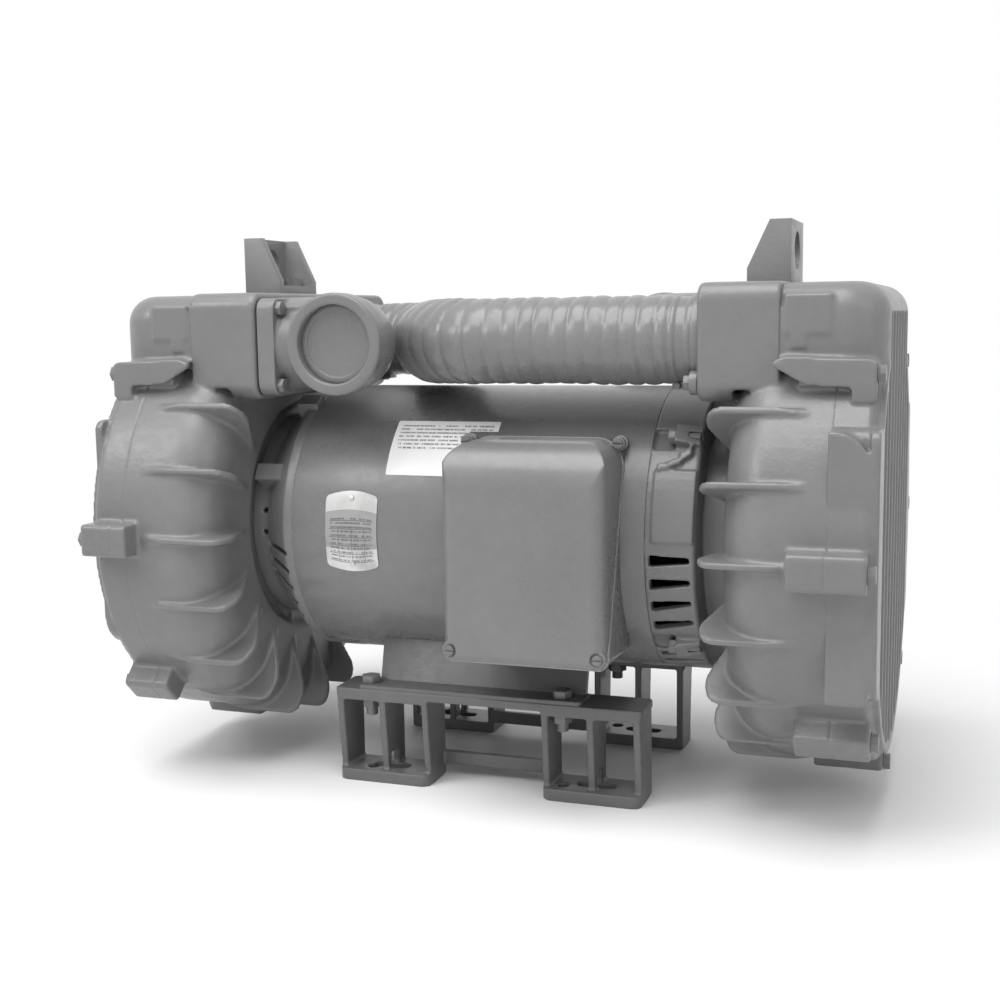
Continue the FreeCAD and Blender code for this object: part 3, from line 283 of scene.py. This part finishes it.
def moulded(name, colour, roughness, texture=0.1 * MM):
    """Rubber, plastic, varnish and foam."""
    f = Finish(name, roughness)
    fine = f.noise(scale=1300.0, detail=2.0)
    cloud = f.noise(scale=40.0, detail=3.0).ramp(0.3, 0.7)
    f.set(Base_Color=f.blend(cloud, rgb(colour, 0.9), rgb(colour, 1.1)),
          Roughness=roughness + 0.15 * (fine - 0.5),
          Normal=f.bump(fine, distance=texture, strength=0.5))


def printed_rows(f, across, up, rows, low, high):
    """Mask of small print: word-like dashes on evenly spaced rows between two heights."""
    words, letters = 26.0, 190.0
    line = up * rows
    row = line.maths("FLOOR", line)
    height = line.maths("FRACT", line)
    word_at = f.node("ShaderNodeCombineXYZ", {}, {"X": across * words, "Y": row * 3.7})
    word = f.noise(1.0, 0.0, word_at).ramp(0.35, 0.41)
    letter_at = f.node("ShaderNodeCombineXYZ", {}, {"X": across * letters, "Y": row * 5.1})
    letter = f.noise(1.0, 0.0, letter_at).ramp(0.36, 0.50)
    return word * letter * height.within(0.30, 0.72) * up.within(low, high)


def make_finishes(settings):
    body, stand, gloss = settings.body[:], settings.stand[:], settings.gloss
    satin_paint("cast_paint", body, gloss, 0.45 * MM, wear_and_painted_light=True)
    satin_paint("sheet_paint", body, gloss - 0.04, 0.08 * MM)
    satin_paint("hose_paint", rgb(body, 1.03), gloss - 0.07, 0.3 * MM, wear_and_painted_light=True)
    satin_paint("stand_paint", stand, gloss + 0.06, 0.4 * MM)
    satin_paint("bolt_paint", rgb(body, 0.92), gloss, 0.2 * MM)
    # Much lighter paint on the conduit seam bead: a painted highlight
    satin_paint("bead_paint", rgb(body, 1.8), gloss - 0.08, 0.1 * MM)
    bare_metal("plate_aluminium", (0.62, 0.62, 0.61), 0.38)
    bare_metal("zinc", (0.50, 0.50, 0.51), 0.36)
    bare_metal("ground_steel", (0.62, 0.62, 0.64), 0.18)
    bare_metal("turned_steel", (0.52, 0.52, 0.53), 0.30)
    bare_metal("core_steel", (0.22, 0.22, 0.23), 0.55)
    bare_metal("cast_aluminium", (0.63, 0.63, 0.65), 0.45, 0.1 * MM)
    moulded("black_rubber", grey(0.02), 0.65)
    moulded("black_plastic", grey(0.03), 0.4)
    moulded("open_foam", grey(0.03), 0.95, 1.2 * MM)
    moulded("varnished_copper", (0.42, 0.16, 0.05), 0.3, 0.4 * MM)
    make_sticker_finish()
    make_nameplate_finish()


def face_place(f):
    """Across and up on a plate, 0 to 1, from the plate's own UV map."""
    where = f.node("ShaderNodeUVMap", {"uv_map": "plate"}, {})
    across = f.node("ShaderNodeSeparateXYZ", {}, {"Vector": where})
    return across, Reading(f, across.socket.node.outputs["Y"])


def make_sticker_finish():
    """White film with rows of small meaningless dashes and a short foot line."""
    f = Finish("printed_film", 0.36)
    across, up = face_place(f)
    rows = printed_rows(f, across, up, 14.0, 0.43, 0.93) * across.within(0.05, 0.95)
    foot = printed_rows(f, across, up, 16.0, 0.06, 0.13) * across.within(0.55, 0.95)
    smudge = f.noise(scale=30.0, detail=4.0).ramp(0.4, 0.8)
    film = f.blend(smudge, rgb((0.94, 0.94, 0.935)), rgb((0.88, 0.88, 0.875)))
    inked = f.blend((rows + foot) * 0.85, film, rgb(grey(0.05)))
    f.set(Base_Color=inked, Roughness=0.36 + 0.1 * smudge)


def make_nameplate_finish():
    """Bright etched plate: bare ends, and a darker field with ruled rows of small dashes."""
    f = Finish("etched_plate", 0.34, metallic=0.8)
    across, up = face_place(f)
    rows = printed_rows(f, across, up, 19.0, 0.10, 0.70) * across.within(0.10, 0.90)
    line = up * 9.5
    rule = (line.maths("FRACT", line) < 0.10) * up.within(0.08, 0.72) * across.within(0.07, 0.93)
    column = across * 4.0
    post = (column.maths("FRACT", column) < 0.05) * up.within(0.10, 0.55) * (across > 0.2)
    ink = rows.maths("MAXIMUM", rows, rule * 0.9)
    ink = ink.maths("MAXIMUM", ink, post * 0.8)
    dull = f.noise(scale=45.0, detail=4.0).ramp(0.35, 0.7)
    metal = f.blend(dull, rgb((0.62, 0.62, 0.615)), rgb((0.46, 0.46, 0.455)))
    metal = f.blend(up.within(0.27, 0.77) * 0.55, metal, rgb(grey(0.20)))
    inked = f.blend(ink * 0.75, metal, rgb(grey(0.09)))
    f.set(Base_Color=inked, Roughness=0.30 + 0.2 * dull,
          Normal=f.bump(1.0 - ink, distance=0.12 * MM, strength=0.5))


# Mesh helpers

def bare_copy(node):
    """Merged copy of a node's mesh, as a bmesh."""
    work = bmesh.new()
    work.from_mesh(NODES[node].data)
    bmesh.ops.remove_doubles(work, verts=work.verts, dist=1e-6)
    return work


def finished(name, work, material, body, node, smooth_angle=30):
    """Turns a bmesh into a piece with sharp edges that rides on a body and stands for a node."""
    mesh = bpy.data.meshes.new(name)
    work.to_mesh(mesh)
    work.free()
    finished_mesh(name, mesh, material, body, node, smooth_angle)


def finished_mesh(name, mesh, material, body, node, smooth_angle=None):
    """Turns a mesh into a piece; edges over smooth_angle degrees stay sharp if it is given."""
    piece = bpy.data.objects.new(name, mesh)
    bpy.context.scene.collection.objects.link(piece)
    mesh.materials.clear()
    mesh.materials.append(PAINT[material])
    mesh.shade_smooth()
    if smooth_angle is not None:
        mesh.set_sharp_from_angle(angle=math.radians(smooth_angle))
    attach(piece, body)
    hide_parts(node)


def soft_casting(node, grain, passes, limit=TRIANGLE_LIMIT, meet=0.0, extra=None):
    """Mesh of a casting with rounded edges and fillets: remeshed, smoothed, thinned.

    meet moves its parting faces by that much, so that the two halves' rounded edges close up;
    extra adds closed shapes to the bmesh first, which the remesh melts in."""
    work = bare_copy(node)
    if meet:
        bmesh.ops.translate(work, verts=on_parting(work), vec=(meet, 0, 0))
    if extra:
        extra(work)
    rough = bpy.data.meshes.new(node + "_rough")
    work.to_mesh(rough)
    work.free()
    carrier = bpy.data.objects.new(node + "_rough", rough)
    bpy.context.scene.collection.objects.link(carrier)
    remesh = carrier.modifiers.new("grain", "REMESH")
    remesh.mode = "VOXEL"
    remesh.voxel_size = grain
    soften = carrier.modifiers.new("soften", "SMOOTH")
    soften.factor = 0.5
    soften.iterations = passes
    triangles = 2 * len(evaluated(carrier).polygons)
    if triangles > limit:
        thin = carrier.modifiers.new("thin", "DECIMATE")
        thin.ratio = limit / triangles
    mesh = evaluated(carrier)
    bpy.data.objects.remove(carrier)
    mesh.name = node + "_cast"
    return mesh


def on_parting(work):
    """Vertices of a right housing or cover that lie on the faces where the two meet."""
    near = 0.3 * MM
    return [v for v in work.verts
            if abs(v.co.x - RING_PARTING_X) < near
            or (abs(v.co.x - BLOCK_PARTING_X) < near and v.co.z > BLOCK_PARTING_LOW)]


def evaluated(obj):
    graph = bpy.context.evaluated_depsgraph_get()
    graph.update()
    return bpy.data.meshes.new_from_object(obj.evaluated_get(graph))


def eased(node, width, segments=2):
    """Merged copy of a machined or folded node with its sharp edges broken."""
    flat, sharp = math.radians(0.8), math.radians(28.0)
    work = bare_copy(node)
    bmesh.ops.dissolve_limit(work, angle_limit=flat, verts=work.verts, edges=work.edges)
    edges = [e for e in work.edges if len(e.link_faces) == 2 and e.calc_face_angle(0.0) > sharp]
    bmesh.ops.bevel(work, geom=edges, offset=width, offset_type="OFFSET", affect="EDGES",
                    segments=segments, profile=0.5, material=-1, clamp_overlap=True)
    bmesh.ops.triangulate(work, faces=work.faces)
    return work


def dress(material, *names):
    """A better material on nodes whose CAD shape stays."""
    for name in names:
        mesh = NODES[name].data
        mesh.materials.clear()
        mesh.materials.append(PAINT[material])


# Pieces

class BLOWER_OT_finishes(bpy.types.Operator):
    """Makes the paints, metals, rubber and printed films"""
    bl_idname = "blower.finishes"
    bl_label = "Finishes"

    def execute(self, context):
        make_finishes(context.scene.blower_paint)
        return {"FINISHED"}


class BLOWER_OT_ring_castings(bpy.types.Operator):
    """Builds the two ribbed ring castings and their covers"""
    bl_idname = "blower.ring_castings"
    bl_label = "Ring castings"

    def execute(self, context):
        casting = context.scene.blower_casting
        for part, meet, extra in (("housing", MEET, None), ("cover", -MEET, cast_fields)):
            right = soft_casting(part + "_right", casting.grain, casting.soften, meet=meet, extra=extra)
            left = right.copy()
            left.transform(HALF_TURN)
            finished_mesh(part + "_right_casting", right, "cast_paint", "blower", part + "_right")
            finished_mesh(part + "_left_casting", left, "cast_paint", "blower", part + "_left")
        return {"FINISHED"}


class BLOWER_OT_elbows(bpy.types.Operator):
    """Builds the two cast elbows and the plug in the inlet's nozzle"""
    bl_idname = "blower.elbows"
    bl_label = "Elbows"

    def execute(self, context):
        casting = context.scene.blower_casting
        outlet = soft_casting("outlet_elbow", casting.fine_grain, 3, ELBOW_LIMIT)
        inlet = outlet.copy()
        inlet.transform(HALF_TURN)
        finished_mesh("outlet_elbow_casting", outlet, "cast_paint", "blower", "outlet_elbow")
        finished_mesh("inlet_elbow_casting", inlet, "cast_paint", "blower", "inlet_elbow")
        plug = eased("inlet_plug", width=0.8 * MM)
        finished("inlet_plug_disc", plug, "sheet_paint", "plug", "inlet_plug")
        dress("black_rubber", "inlet_gasket", "outlet_gasket")
        return {"FINISHED"}


class BLOWER_OT_motor(bpy.types.Operator):
    """Builds the motor frame, its end bells and the folded foot"""
    bl_idname = "blower.motor"
    bl_label = "Motor"

    def execute(self, context):
        casting = context.scene.blower_casting
        for name, extra in (("end_bell_left", None), ("end_bell_right", bell_pads)):
            bell = soft_casting(name, casting.fine_grain, 3, extra=extra)
            finished_mesh(name + "_casting", bell, "cast_paint", "blower", name)
        shell = eased("motor_frame", width=0.8 * MM)
        finished("motor_frame_shell", shell, "sheet_paint", "blower", "motor_frame")
        foot = eased("motor_foot", width=0.8 * MM)
        finished("motor_foot_fold", foot, "stand_paint", "blower", "motor_foot")
        return {"FINISHED"}


def cast_fields(work):
    """Shallow raised field with a small boss below it, on both sides of the cover's block."""
    for side in (-1, 1):
        for spot, size in BLOCK_FIELDS:
            place = Matrix.Translation(Vector((spot[0], side * BLOCK_SIDE, spot[1])) * MM)
            size = Matrix.Diagonal((size[0] * MM, FIELD_THICKNESS * MM, size[1] * MM, 1.0))
            bmesh.ops.create_cube(work, size=1.0, matrix=place @ size)


def bell_pads(work):
    """Raised pad and curled lip under the right bell's upper bolt pocket, on both sides."""
    for mirrored in (False, True):
        for ends, angles, height, lean in BELL_PADS:
            radii = (BELL_PAD_ROOT, FRAME_RADIUS / MM + height)
            curved_block(work, ends, angles, radii, lean, mirrored)


def curved_block(work, ends, angles, radii, lean, mirrored):
    """Block bent round the shaft axis; lean raises its far end by some degrees."""
    block = bmesh.new()
    bmesh.ops.create_cube(block, size=1.0)
    bmesh.ops.subdivide_edges(block, edges=block.edges[:], cuts=6, use_grid_fill=True)
    for v in block.verts:
        across, high, deep = v.co.x + 0.5, v.co.z + 0.5, v.co.y + 0.5
        angle = angles[0] + (angles[1] - angles[0]) * high + lean * across
        angle = math.radians(180 - angle if mirrored else angle)
        radius = (radii[0] + (radii[1] - radii[0]) * deep) * MM
        x = (ends[0] + (ends[1] - ends[0]) * across) * MM
        v.co = on_frame(x, radius, angle)
    bmesh.ops.recalc_face_normals(block, faces=block.faces[:])
    mesh = bpy.data.meshes.new("block")
    block.to_mesh(mesh)
    block.free()
    work.from_mesh(mesh)
    bpy.data.meshes.remove(mesh)


def on_frame(x, radius, angle):
    """Point round the shaft axis; the angle runs up from the motor's front."""
    return Vector((x, -radius * math.cos(angle), SHAFT_Z + radius * math.sin(angle)))


class BLOWER_OT_conduit_box(bpy.types.Operator):
    """Builds the conduit box on the motor's front"""
    bl_idname = "blower.conduit_box"
    bl_label = "Conduit box"

    def execute(self, context):
        cover = soft_casting("conduit_cover", PRESSING_GRAIN, 3)
        finished_mesh("conduit_cover_pressing", cover, "sheet_paint", "blower", "conduit_cover")
        tray = eased("conduit_box", width=0.5 * MM)
        finished("conduit_tray", tray, "sheet_paint", "blower", "conduit_box")
        bead = bare_copy("conduit_gasket")
        bead.normal_update()
        for v in bead.verts:
            v.co += Vector((v.normal.x, 0.0, v.normal.z)) * 0.8 * MM
        # The bead's lighter paint is a painted highlight along the seam
        finished("conduit_seam_bead", bead, "bead_paint", "blower", "conduit_gasket")
        screws = eased("conduit_screws", width=0.3 * MM)
        finished("conduit_screw_heads", screws, "bolt_paint", "blower", "conduit_screws")
        return {"FINISHED"}


class BLOWER_OT_hose(bpy.types.Operator):
    """Builds the ridged hose between the stages, with its spigots and clamps"""
    bl_idname = "blower.hose"
    bl_label = "Hose"

    def execute(self, context):
        hose = context.scene.blower_hose
        mesh = ridged_hose(hose.pitch, hose.ridge, hose.crinkle)
        finished_mesh("ridged_hose", mesh, "hose_paint", "blower", "interstage_hose")
        for side in ("left", "right"):
            spigot = eased("hose_spigot_" + side, width=0.7 * MM)
            finished("spigot_%s_flange" % side, spigot, "sheet_paint", "blower", "hose_spigot_" + side)
            clamp = eased("hose_clamp_" + side, width=0.4 * MM)
            finished("clamp_%s_band" % side, clamp, "bolt_paint", "blower", "hose_clamp_" + side)
        return {"FINISHED"}


def hose_runs():
    """Straight runs and bends of the hose, from the right stage's port to the left one's."""
    turn, lead = math.radians(74.0), 12.0 * MM
    step = 2 * HOSE_Y - 2 * HOSE_BEND * (1 - math.cos(turn))
    last = HOSE_X + lead - 2 * HOSE_BEND * math.sin(turn) - step / math.tan(turn)
    return [("run", HOSE_X - lead), ("bend", -turn), ("run", step / math.sin(turn)),
            ("bend", turn), ("run", last)]


def hose_rings(work):
    """Sweeps the tube along its runs; returns each ring's vertices, middle and distance gone."""
    fine = 1.5 * MM
    place, heading, gone = Vector((HOSE_X, -HOSE_Y, HOSE_Z)), Vector((-1, 0, 0)), 0.0
    turned = Matrix.Translation(place) @ Matrix.Rotation(math.pi / 2, 4, "Y")
    ring = bmesh.ops.create_circle(work, cap_ends=False, radius=HOSE_RADIUS, segments=72, matrix=turned)
    rings = [(ring["verts"], place.copy(), gone)]
    front = work.edges[:]
    for kind, value in hose_runs():
        length = value if kind == "run" else HOSE_BEND * abs(value)
        steps = max(1, round(length / fine))
        shift = heading * (value / steps)
        turn = Matrix.Rotation(value / steps, 3, "Z")
        centre = place + Vector((-heading.y, heading.x, 0)) * math.copysign(HOSE_BEND, value)
        for _ in range(steps):
            made = bmesh.ops.extrude_edge_only(work, edges=front)["geom"]
            verts = [g for g in made if isinstance(g, bmesh.types.BMVert)]
            front = [g for g in made if isinstance(g, bmesh.types.BMEdge) and len(g.link_faces) == 1]
            if kind == "run":
                bmesh.ops.translate(work, verts=verts, vec=shift)
                place = place + shift
            else:
                bmesh.ops.rotate(work, verts=verts, cent=centre, matrix=turn)
                place = centre + turn @ (place - centre)
            gone += length / steps
            rings.append((verts, place.copy(), gone))
        if kind == "bend":
            heading = Matrix.Rotation(value, 3, "Z") @ heading
    return rings


def unevenness(point, *waves):
    """Sum of noises at a point, each given as its frequency per metre and its size."""
    return sum(noise.noise(point * frequency) * size for frequency, size in waves)


def ridged_hose(pitch, ridge, crinkle):
    """Tube swept along the hose's runs, then pushed in and out ring by ring."""
    cuff, fade = 20.0 * MM, 6.0 * MM
    bead, outer_bead, inner_bead = 1.4 * MM, 4.5 * MM, 15.5 * MM
    bluntness, drift = 0.42, Vector((3.0, 1.0, 7.0))
    work = bmesh.new()
    rings = hose_rings(work)
    length = rings[-1][2]
    for verts, middle, gone in rings:
        inner = min(gone, length - gone)
        share = min(1.0, max(0.0, (inner - cuff) / fade))
        lift = bead if inner < outer_bead or inner_bead < inner < cuff else 0.0
        for v in verts:
            spoke = (v.co - middle).normalized()
            slip = unevenness(v.co, (16.0, 0.16), (60.0, 0.05))
            wave = abs(math.sin(math.pi * (gone / pitch + slip)))
            depth = ridge * (0.75 + 0.5 * noise.noise(v.co * 28.0 + drift))
            dent = unevenness(v.co, (75.0, crinkle), (230.0, crinkle * 0.4))
            v.co = v.co + spoke * (share * (depth * wave ** bluntness + dent) + lift)
    bmesh.ops.solidify(work, geom=work.faces[:], thickness=HOSE_WALL)
    bmesh.ops.recalc_face_normals(work, faces=work.faces)
    mesh = bpy.data.meshes.new("ridged_hose")
    work.to_mesh(mesh)
    work.free()
    return mesh


class BLOWER_OT_plates(bpy.types.Operator):
    """Builds the nameplate and the sticker on the motor frame"""
    bl_idname = "blower.plates"
    bl_label = "Plates"

    def execute(self, context):
        finished("nameplate_face", bent_plate(**NAMEPLATE), "etched_plate", "blower", "nameplate")
        rivets = eased("nameplate_rivets", width=0.5 * MM, segments=3)
        finished("nameplate_domes", rivets, "plate_aluminium", "blower", "nameplate_rivets",
                 smooth_angle=40)
        finished("data_sticker", bent_plate(**STICKER), "printed_film", "blower", "data_label")
        return {"FINISHED"}


def bent_plate(ends, angles, thick, corner, crown=0.0, notch=None):
    """Thin plate bent round the motor frame, with a UV map that runs 0 to 1 over its face.

    crown bows its two long edges out in the middle; notch takes away what lies right of its x
    and below its z."""
    work = bmesh.new()
    bmesh.ops.create_grid(work, x_segments=48, y_segments=36, size=0.5)
    layer = work.loops.layers.uv.new("plate")
    for face in work.faces:
        for loop in face.loops:
            loop[layer].uv = (loop.vert.co.x + 0.5, loop.vert.co.y + 0.5)
    width = ends[1] - ends[0]
    height = math.radians(angles[1] - angles[0]) * FRAME_RADIUS / MM
    for v in work.verts:
        across, up = v.co.x + 0.5, v.co.y + 0.5
        x, s = across * width, up * height
        deep_x = corner - min(x, width - x)
        deep_s = corner - min(s, height - s)
        reach = math.hypot(deep_x, deep_s) / corner
        if deep_x > 0 and deep_s > 0 and reach > 1.0:
            x += deep_x * (1 - 1 / reach) * (1 if x < width / 2 else -1)
            s += deep_s * (1 - 1 / reach) * (1 if s < height / 2 else -1)
        s += crown * (1 - (2 * across - 1) ** 2) * (2 * up - 1)
        angle = math.radians(angles[0]) + s * MM / FRAME_RADIUS
        v.co = on_frame((ends[0] + x) * MM, FRAME_RADIUS + PLATE_CLEARANCE, angle)
    if notch:
        cut_notch(work, *notch)
    bmesh.ops.recalc_face_normals(work, faces=work.faces)
    if sum(f.normal.y for f in work.faces) > 0:
        bmesh.ops.reverse_faces(work, faces=work.faces)
    bmesh.ops.solidify(work, geom=work.faces[:], thickness=-thick * MM)
    return work


def cut_notch(work, edge_x, edge_z):
    """Deletes the faces right of edge_x and below edge_z, with straight edges there."""
    for spot, way in (((edge_x, 0, 0), (1, 0, 0)), ((0, 0, edge_z), (0, 0, 1))):
        bmesh.ops.bisect_plane(work, geom=work.faces[:] + work.edges[:] + work.verts[:], dist=1e-6,
                               plane_co=spot, plane_no=way)
    middles = [(f, f.calc_center_median()) for f in work.faces]
    gone = [f for f, middle in middles if middle.x > edge_x and middle.z < edge_z]
    bmesh.ops.delete(work, geom=gone, context="FACES")


class BLOWER_OT_stands(bpy.types.Operator):
    """Builds the two box stands"""
    bl_idname = "blower.stands"
    bl_label = "Stands"

    def execute(self, context):
        casting = context.scene.blower_casting
        for end in ("front", "rear"):
            mesh = soft_casting("stand_" + end, casting.fine_grain, 4, STAND_LIMIT)
            finished_mesh("stand_%s_frame" % end, mesh, "stand_paint", "blower", "stand_" + end)
        return {"FINISHED"}


class BLOWER_OT_fasteners(bpy.types.Operator):
    """Breaks the edges of the lifting eyes and the painted bolts"""
    bl_idname = "blower.fasteners"
    bl_label = "Fasteners and eyes"

    def execute(self, context):
        for side in ("left", "right"):
            eye = eased("lifting_lug_" + side, width=1.2 * MM, segments=3)
            finished("lifting_eye_" + side, eye, "cast_paint", "blower", "lifting_lug_" + side)
            painted_bolts("cover_bolts_" + side, "port_bolts_" + side)
        painted_bolts("bell_bolts", "foot_bolts")
        return {"FINISHED"}


def painted_bolts(*names):
    for name in names:
        finished(name + "_heads", eased(name, width=0.4 * MM), "bolt_paint", "blower", name)


class BLOWER_OT_inside(bpy.types.Operator):
    """Gives the pieces that keep their CAD shape, most of them hidden, their own finish"""
    bl_idname = "blower.inside"
    bl_label = "Inside"

    def execute(self, context):
        dress("bolt_paint", "foot_nuts", "lug_screws")
        dress("zinc", "impeller_keys", "face_bolts_left", "face_bolts_right", "impeller_bolt_left",
              "impeller_bolt_right")
        dress("ground_steel", "bearing_outer_left", "bearing_outer_right", "bearing_inner_left",
              "bearing_inner_right", "bearing_balls")
        dress("turned_steel", "shaft")
        dress("core_steel", "stator_core", "rotor_core")
        dress("cast_aluminium", "rotor_cage", "impeller_left", "impeller_right")
        dress("varnished_copper", "stator_windings")
        dress("black_plastic", "terminal_block")
        dress("open_foam", "silencer_foam_left", "silencer_foam_right")
        dress("black_rubber", "shaft_seal_left", "shaft_seal_right")
        return {"FINISHED"}


class BLOWER_OT_studio(bpy.types.Operator):
    """Sets the camera, the pale floor, the lamps and the white world"""
    bl_idname = "blower.studio"
    bl_label = "Studio"

    def execute(self, context):
        studio = context.scene.blower_studio
        set_camera()
        set_floor()
        set_world(studio.ambient)
        for name, (place, size) in LAMPS.items():
            area_lamp(name + "_lamp", place, size, getattr(studio, name))
        context.scene.view_settings.view_transform = "Standard"
        return {"FINISHED"}


def set_camera():
    """Camera fitted to the photograph."""
    place = (0.469426, -1.374005, 0.472278)
    yaw, pitch, roll = 0.343418, 0.130762, -0.015139
    look = Vector((-math.sin(yaw) * math.cos(pitch), math.cos(yaw) * math.cos(pitch), -math.sin(pitch)))
    level = Vector((math.cos(yaw), math.sin(yaw), 0.0))
    upright = level.cross(look)
    right = math.cos(roll) * level + math.sin(roll) * upright
    up = -math.sin(roll) * level + math.cos(roll) * upright
    data = bpy.data.cameras.new("camera")
    data.sensor_width = 36.0
    data.lens = 49.855
    camera = bpy.data.objects.new("camera", data)
    turned = Matrix((right, up, -look)).transposed().to_4x4()
    camera.matrix_world = Matrix.Translation(place) @ turned
    bpy.context.scene.collection.objects.link(camera)
    bpy.context.scene.camera = camera


def set_floor():
    """Pale round floor that keeps the soft shadow near the blower and fades to white."""
    radius, fade = 12.0, (0.36, 1.05)
    work = bmesh.new()
    bmesh.ops.create_circle(work, cap_ends=True, radius=radius, segments=64)
    mesh = bpy.data.meshes.new("floor")
    work.to_mesh(mesh)
    work.free()
    floor = bpy.data.objects.new("floor", mesh)
    bpy.context.scene.collection.objects.link(floor)
    f = Finish("pale_floor", 0.55)
    far = f.node("ShaderNodeVectorMath", {"operation": "LENGTH"}, {0: f.place()}, "Value").ramp(*fade)
    seen = f.node("ShaderNodeLightPath", {}, {}, "Is Camera Ray")
    mirrored = f.node("ShaderNodeLightPath", {}, {}, "Is Glossy Ray")
    seen = seen.maths("MAXIMUM", seen, mirrored)
    f.set(Base_Color=rgb(grey(0.88)), Specular_IOR_Level=0.2)
    white = f.node("ShaderNodeEmission", {}, {"Color": WHITE, "Strength": 1.0})
    lit = Reading(f, f.shader.outputs[0])
    mixed = f.node("ShaderNodeMixShader", {}, {0: far * seen, 1: lit, 2: white})
    f.feed(f.tree.nodes["Material Output"].inputs["Surface"], mixed)
    mesh.materials.append(PAINT["pale_floor"])


def set_world(strength):
    """White behind the object, softer white as its light."""
    world = bpy.data.worlds.new("studio")
    world.use_nodes = True
    bpy.context.scene.world = world
    tree = world.node_tree
    background = tree.nodes["Background"]
    white = tree.nodes.new("ShaderNodeBackground")
    for node, value in ((background, strength), (white, 1.0)):
        node.inputs["Color"].default_value = WHITE
        node.inputs["Strength"].default_value = value
    path = tree.nodes.new("ShaderNodeLightPath")
    mix = tree.nodes.new("ShaderNodeMixShader")
    seen = path.outputs["Is Camera Ray"]
    for way in ("Is Glossy Ray", "Is Transmission Ray"):
        either = tree.nodes.new("ShaderNodeMath")
        either.operation = "MAXIMUM"
        tree.links.new(seen, either.inputs[0])
        tree.links.new(path.outputs[way], either.inputs[1])
        seen = either.outputs[0]
    tree.links.new(seen, mix.inputs[0])
    tree.links.new(background.outputs[0], mix.inputs[1])
    tree.links.new(white.outputs[0], mix.inputs[2])
    tree.links.new(mix.outputs[0], tree.nodes["World Output"].inputs["Surface"])


def area_lamp(name, place, size, power):
    data = bpy.data.lights.new(name, "AREA")
    data.shape = "DISK"
    data.size = size
    data.energy = power
    lamp = bpy.data.objects.new(name, data)
    aim = (Vector(LAMP_TARGET) - Vector(place)).to_track_quat("-Z", "Y")
    lamp.matrix_world = Matrix.Translation(place) @ aim.to_matrix().to_4x4()
    bpy.context.scene.collection.objects.link(lamp)


class BLOWER_PT_panel(bpy.types.Panel):
    """Lists the steps and the sizes in the sidebar"""
    bl_label = "Regenerative blower"
    bl_space_type = "VIEW_3D"
    bl_region_type = "UI"
    bl_category = "Blower"

    def draw(self, context):
        for group in SETTINGS:
            settings = getattr(context.scene, group)
            for key in settings.__annotations__:
                self.layout.prop(settings, key)
        for step in STEPS:
            self.layout.operator(step.bl_idname)


STEPS = (BLOWER_OT_finishes, BLOWER_OT_ring_castings, BLOWER_OT_elbows, BLOWER_OT_motor,
         BLOWER_OT_conduit_box, BLOWER_OT_hose, BLOWER_OT_plates, BLOWER_OT_stands,
         BLOWER_OT_fasteners, BLOWER_OT_inside, BLOWER_OT_studio)
SETTINGS = {"blower_paint": PaintSettings, "blower_casting": CastingSettings,
            "blower_hose": HoseSettings, "blower_studio": StudioSettings}


def register():
    for group in SETTINGS.values():
        bpy.utils.register_class(group)
    for step in STEPS + (BLOWER_PT_panel,):
        bpy.utils.register_class(step)
    for name, group in SETTINGS.items():
        setattr(bpy.types.Scene, name, bpy.props.PointerProperty(type=group))


def unregister():
    for name in SETTINGS:
        delattr(bpy.types.Scene, name)
    for step in (BLOWER_PT_panel,) + STEPS[::-1]:
        bpy.utils.unregister_class(step)
    for group in SETTINGS.values():
        bpy.utils.unregister_class(group)


def main():
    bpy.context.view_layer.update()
    register()
    bpy.ops.blower.finishes()
    bpy.ops.blower.ring_castings()
    bpy.ops.blower.elbows()
    bpy.ops.blower.motor()
    bpy.ops.blower.conduit_box()
    bpy.ops.blower.hose()
    bpy.ops.blower.plates()
    bpy.ops.blower.stands()
    bpy.ops.blower.fasteners()
    bpy.ops.blower.inside()
    bpy.ops.blower.studio()


if __name__ == "__main__":
    main()
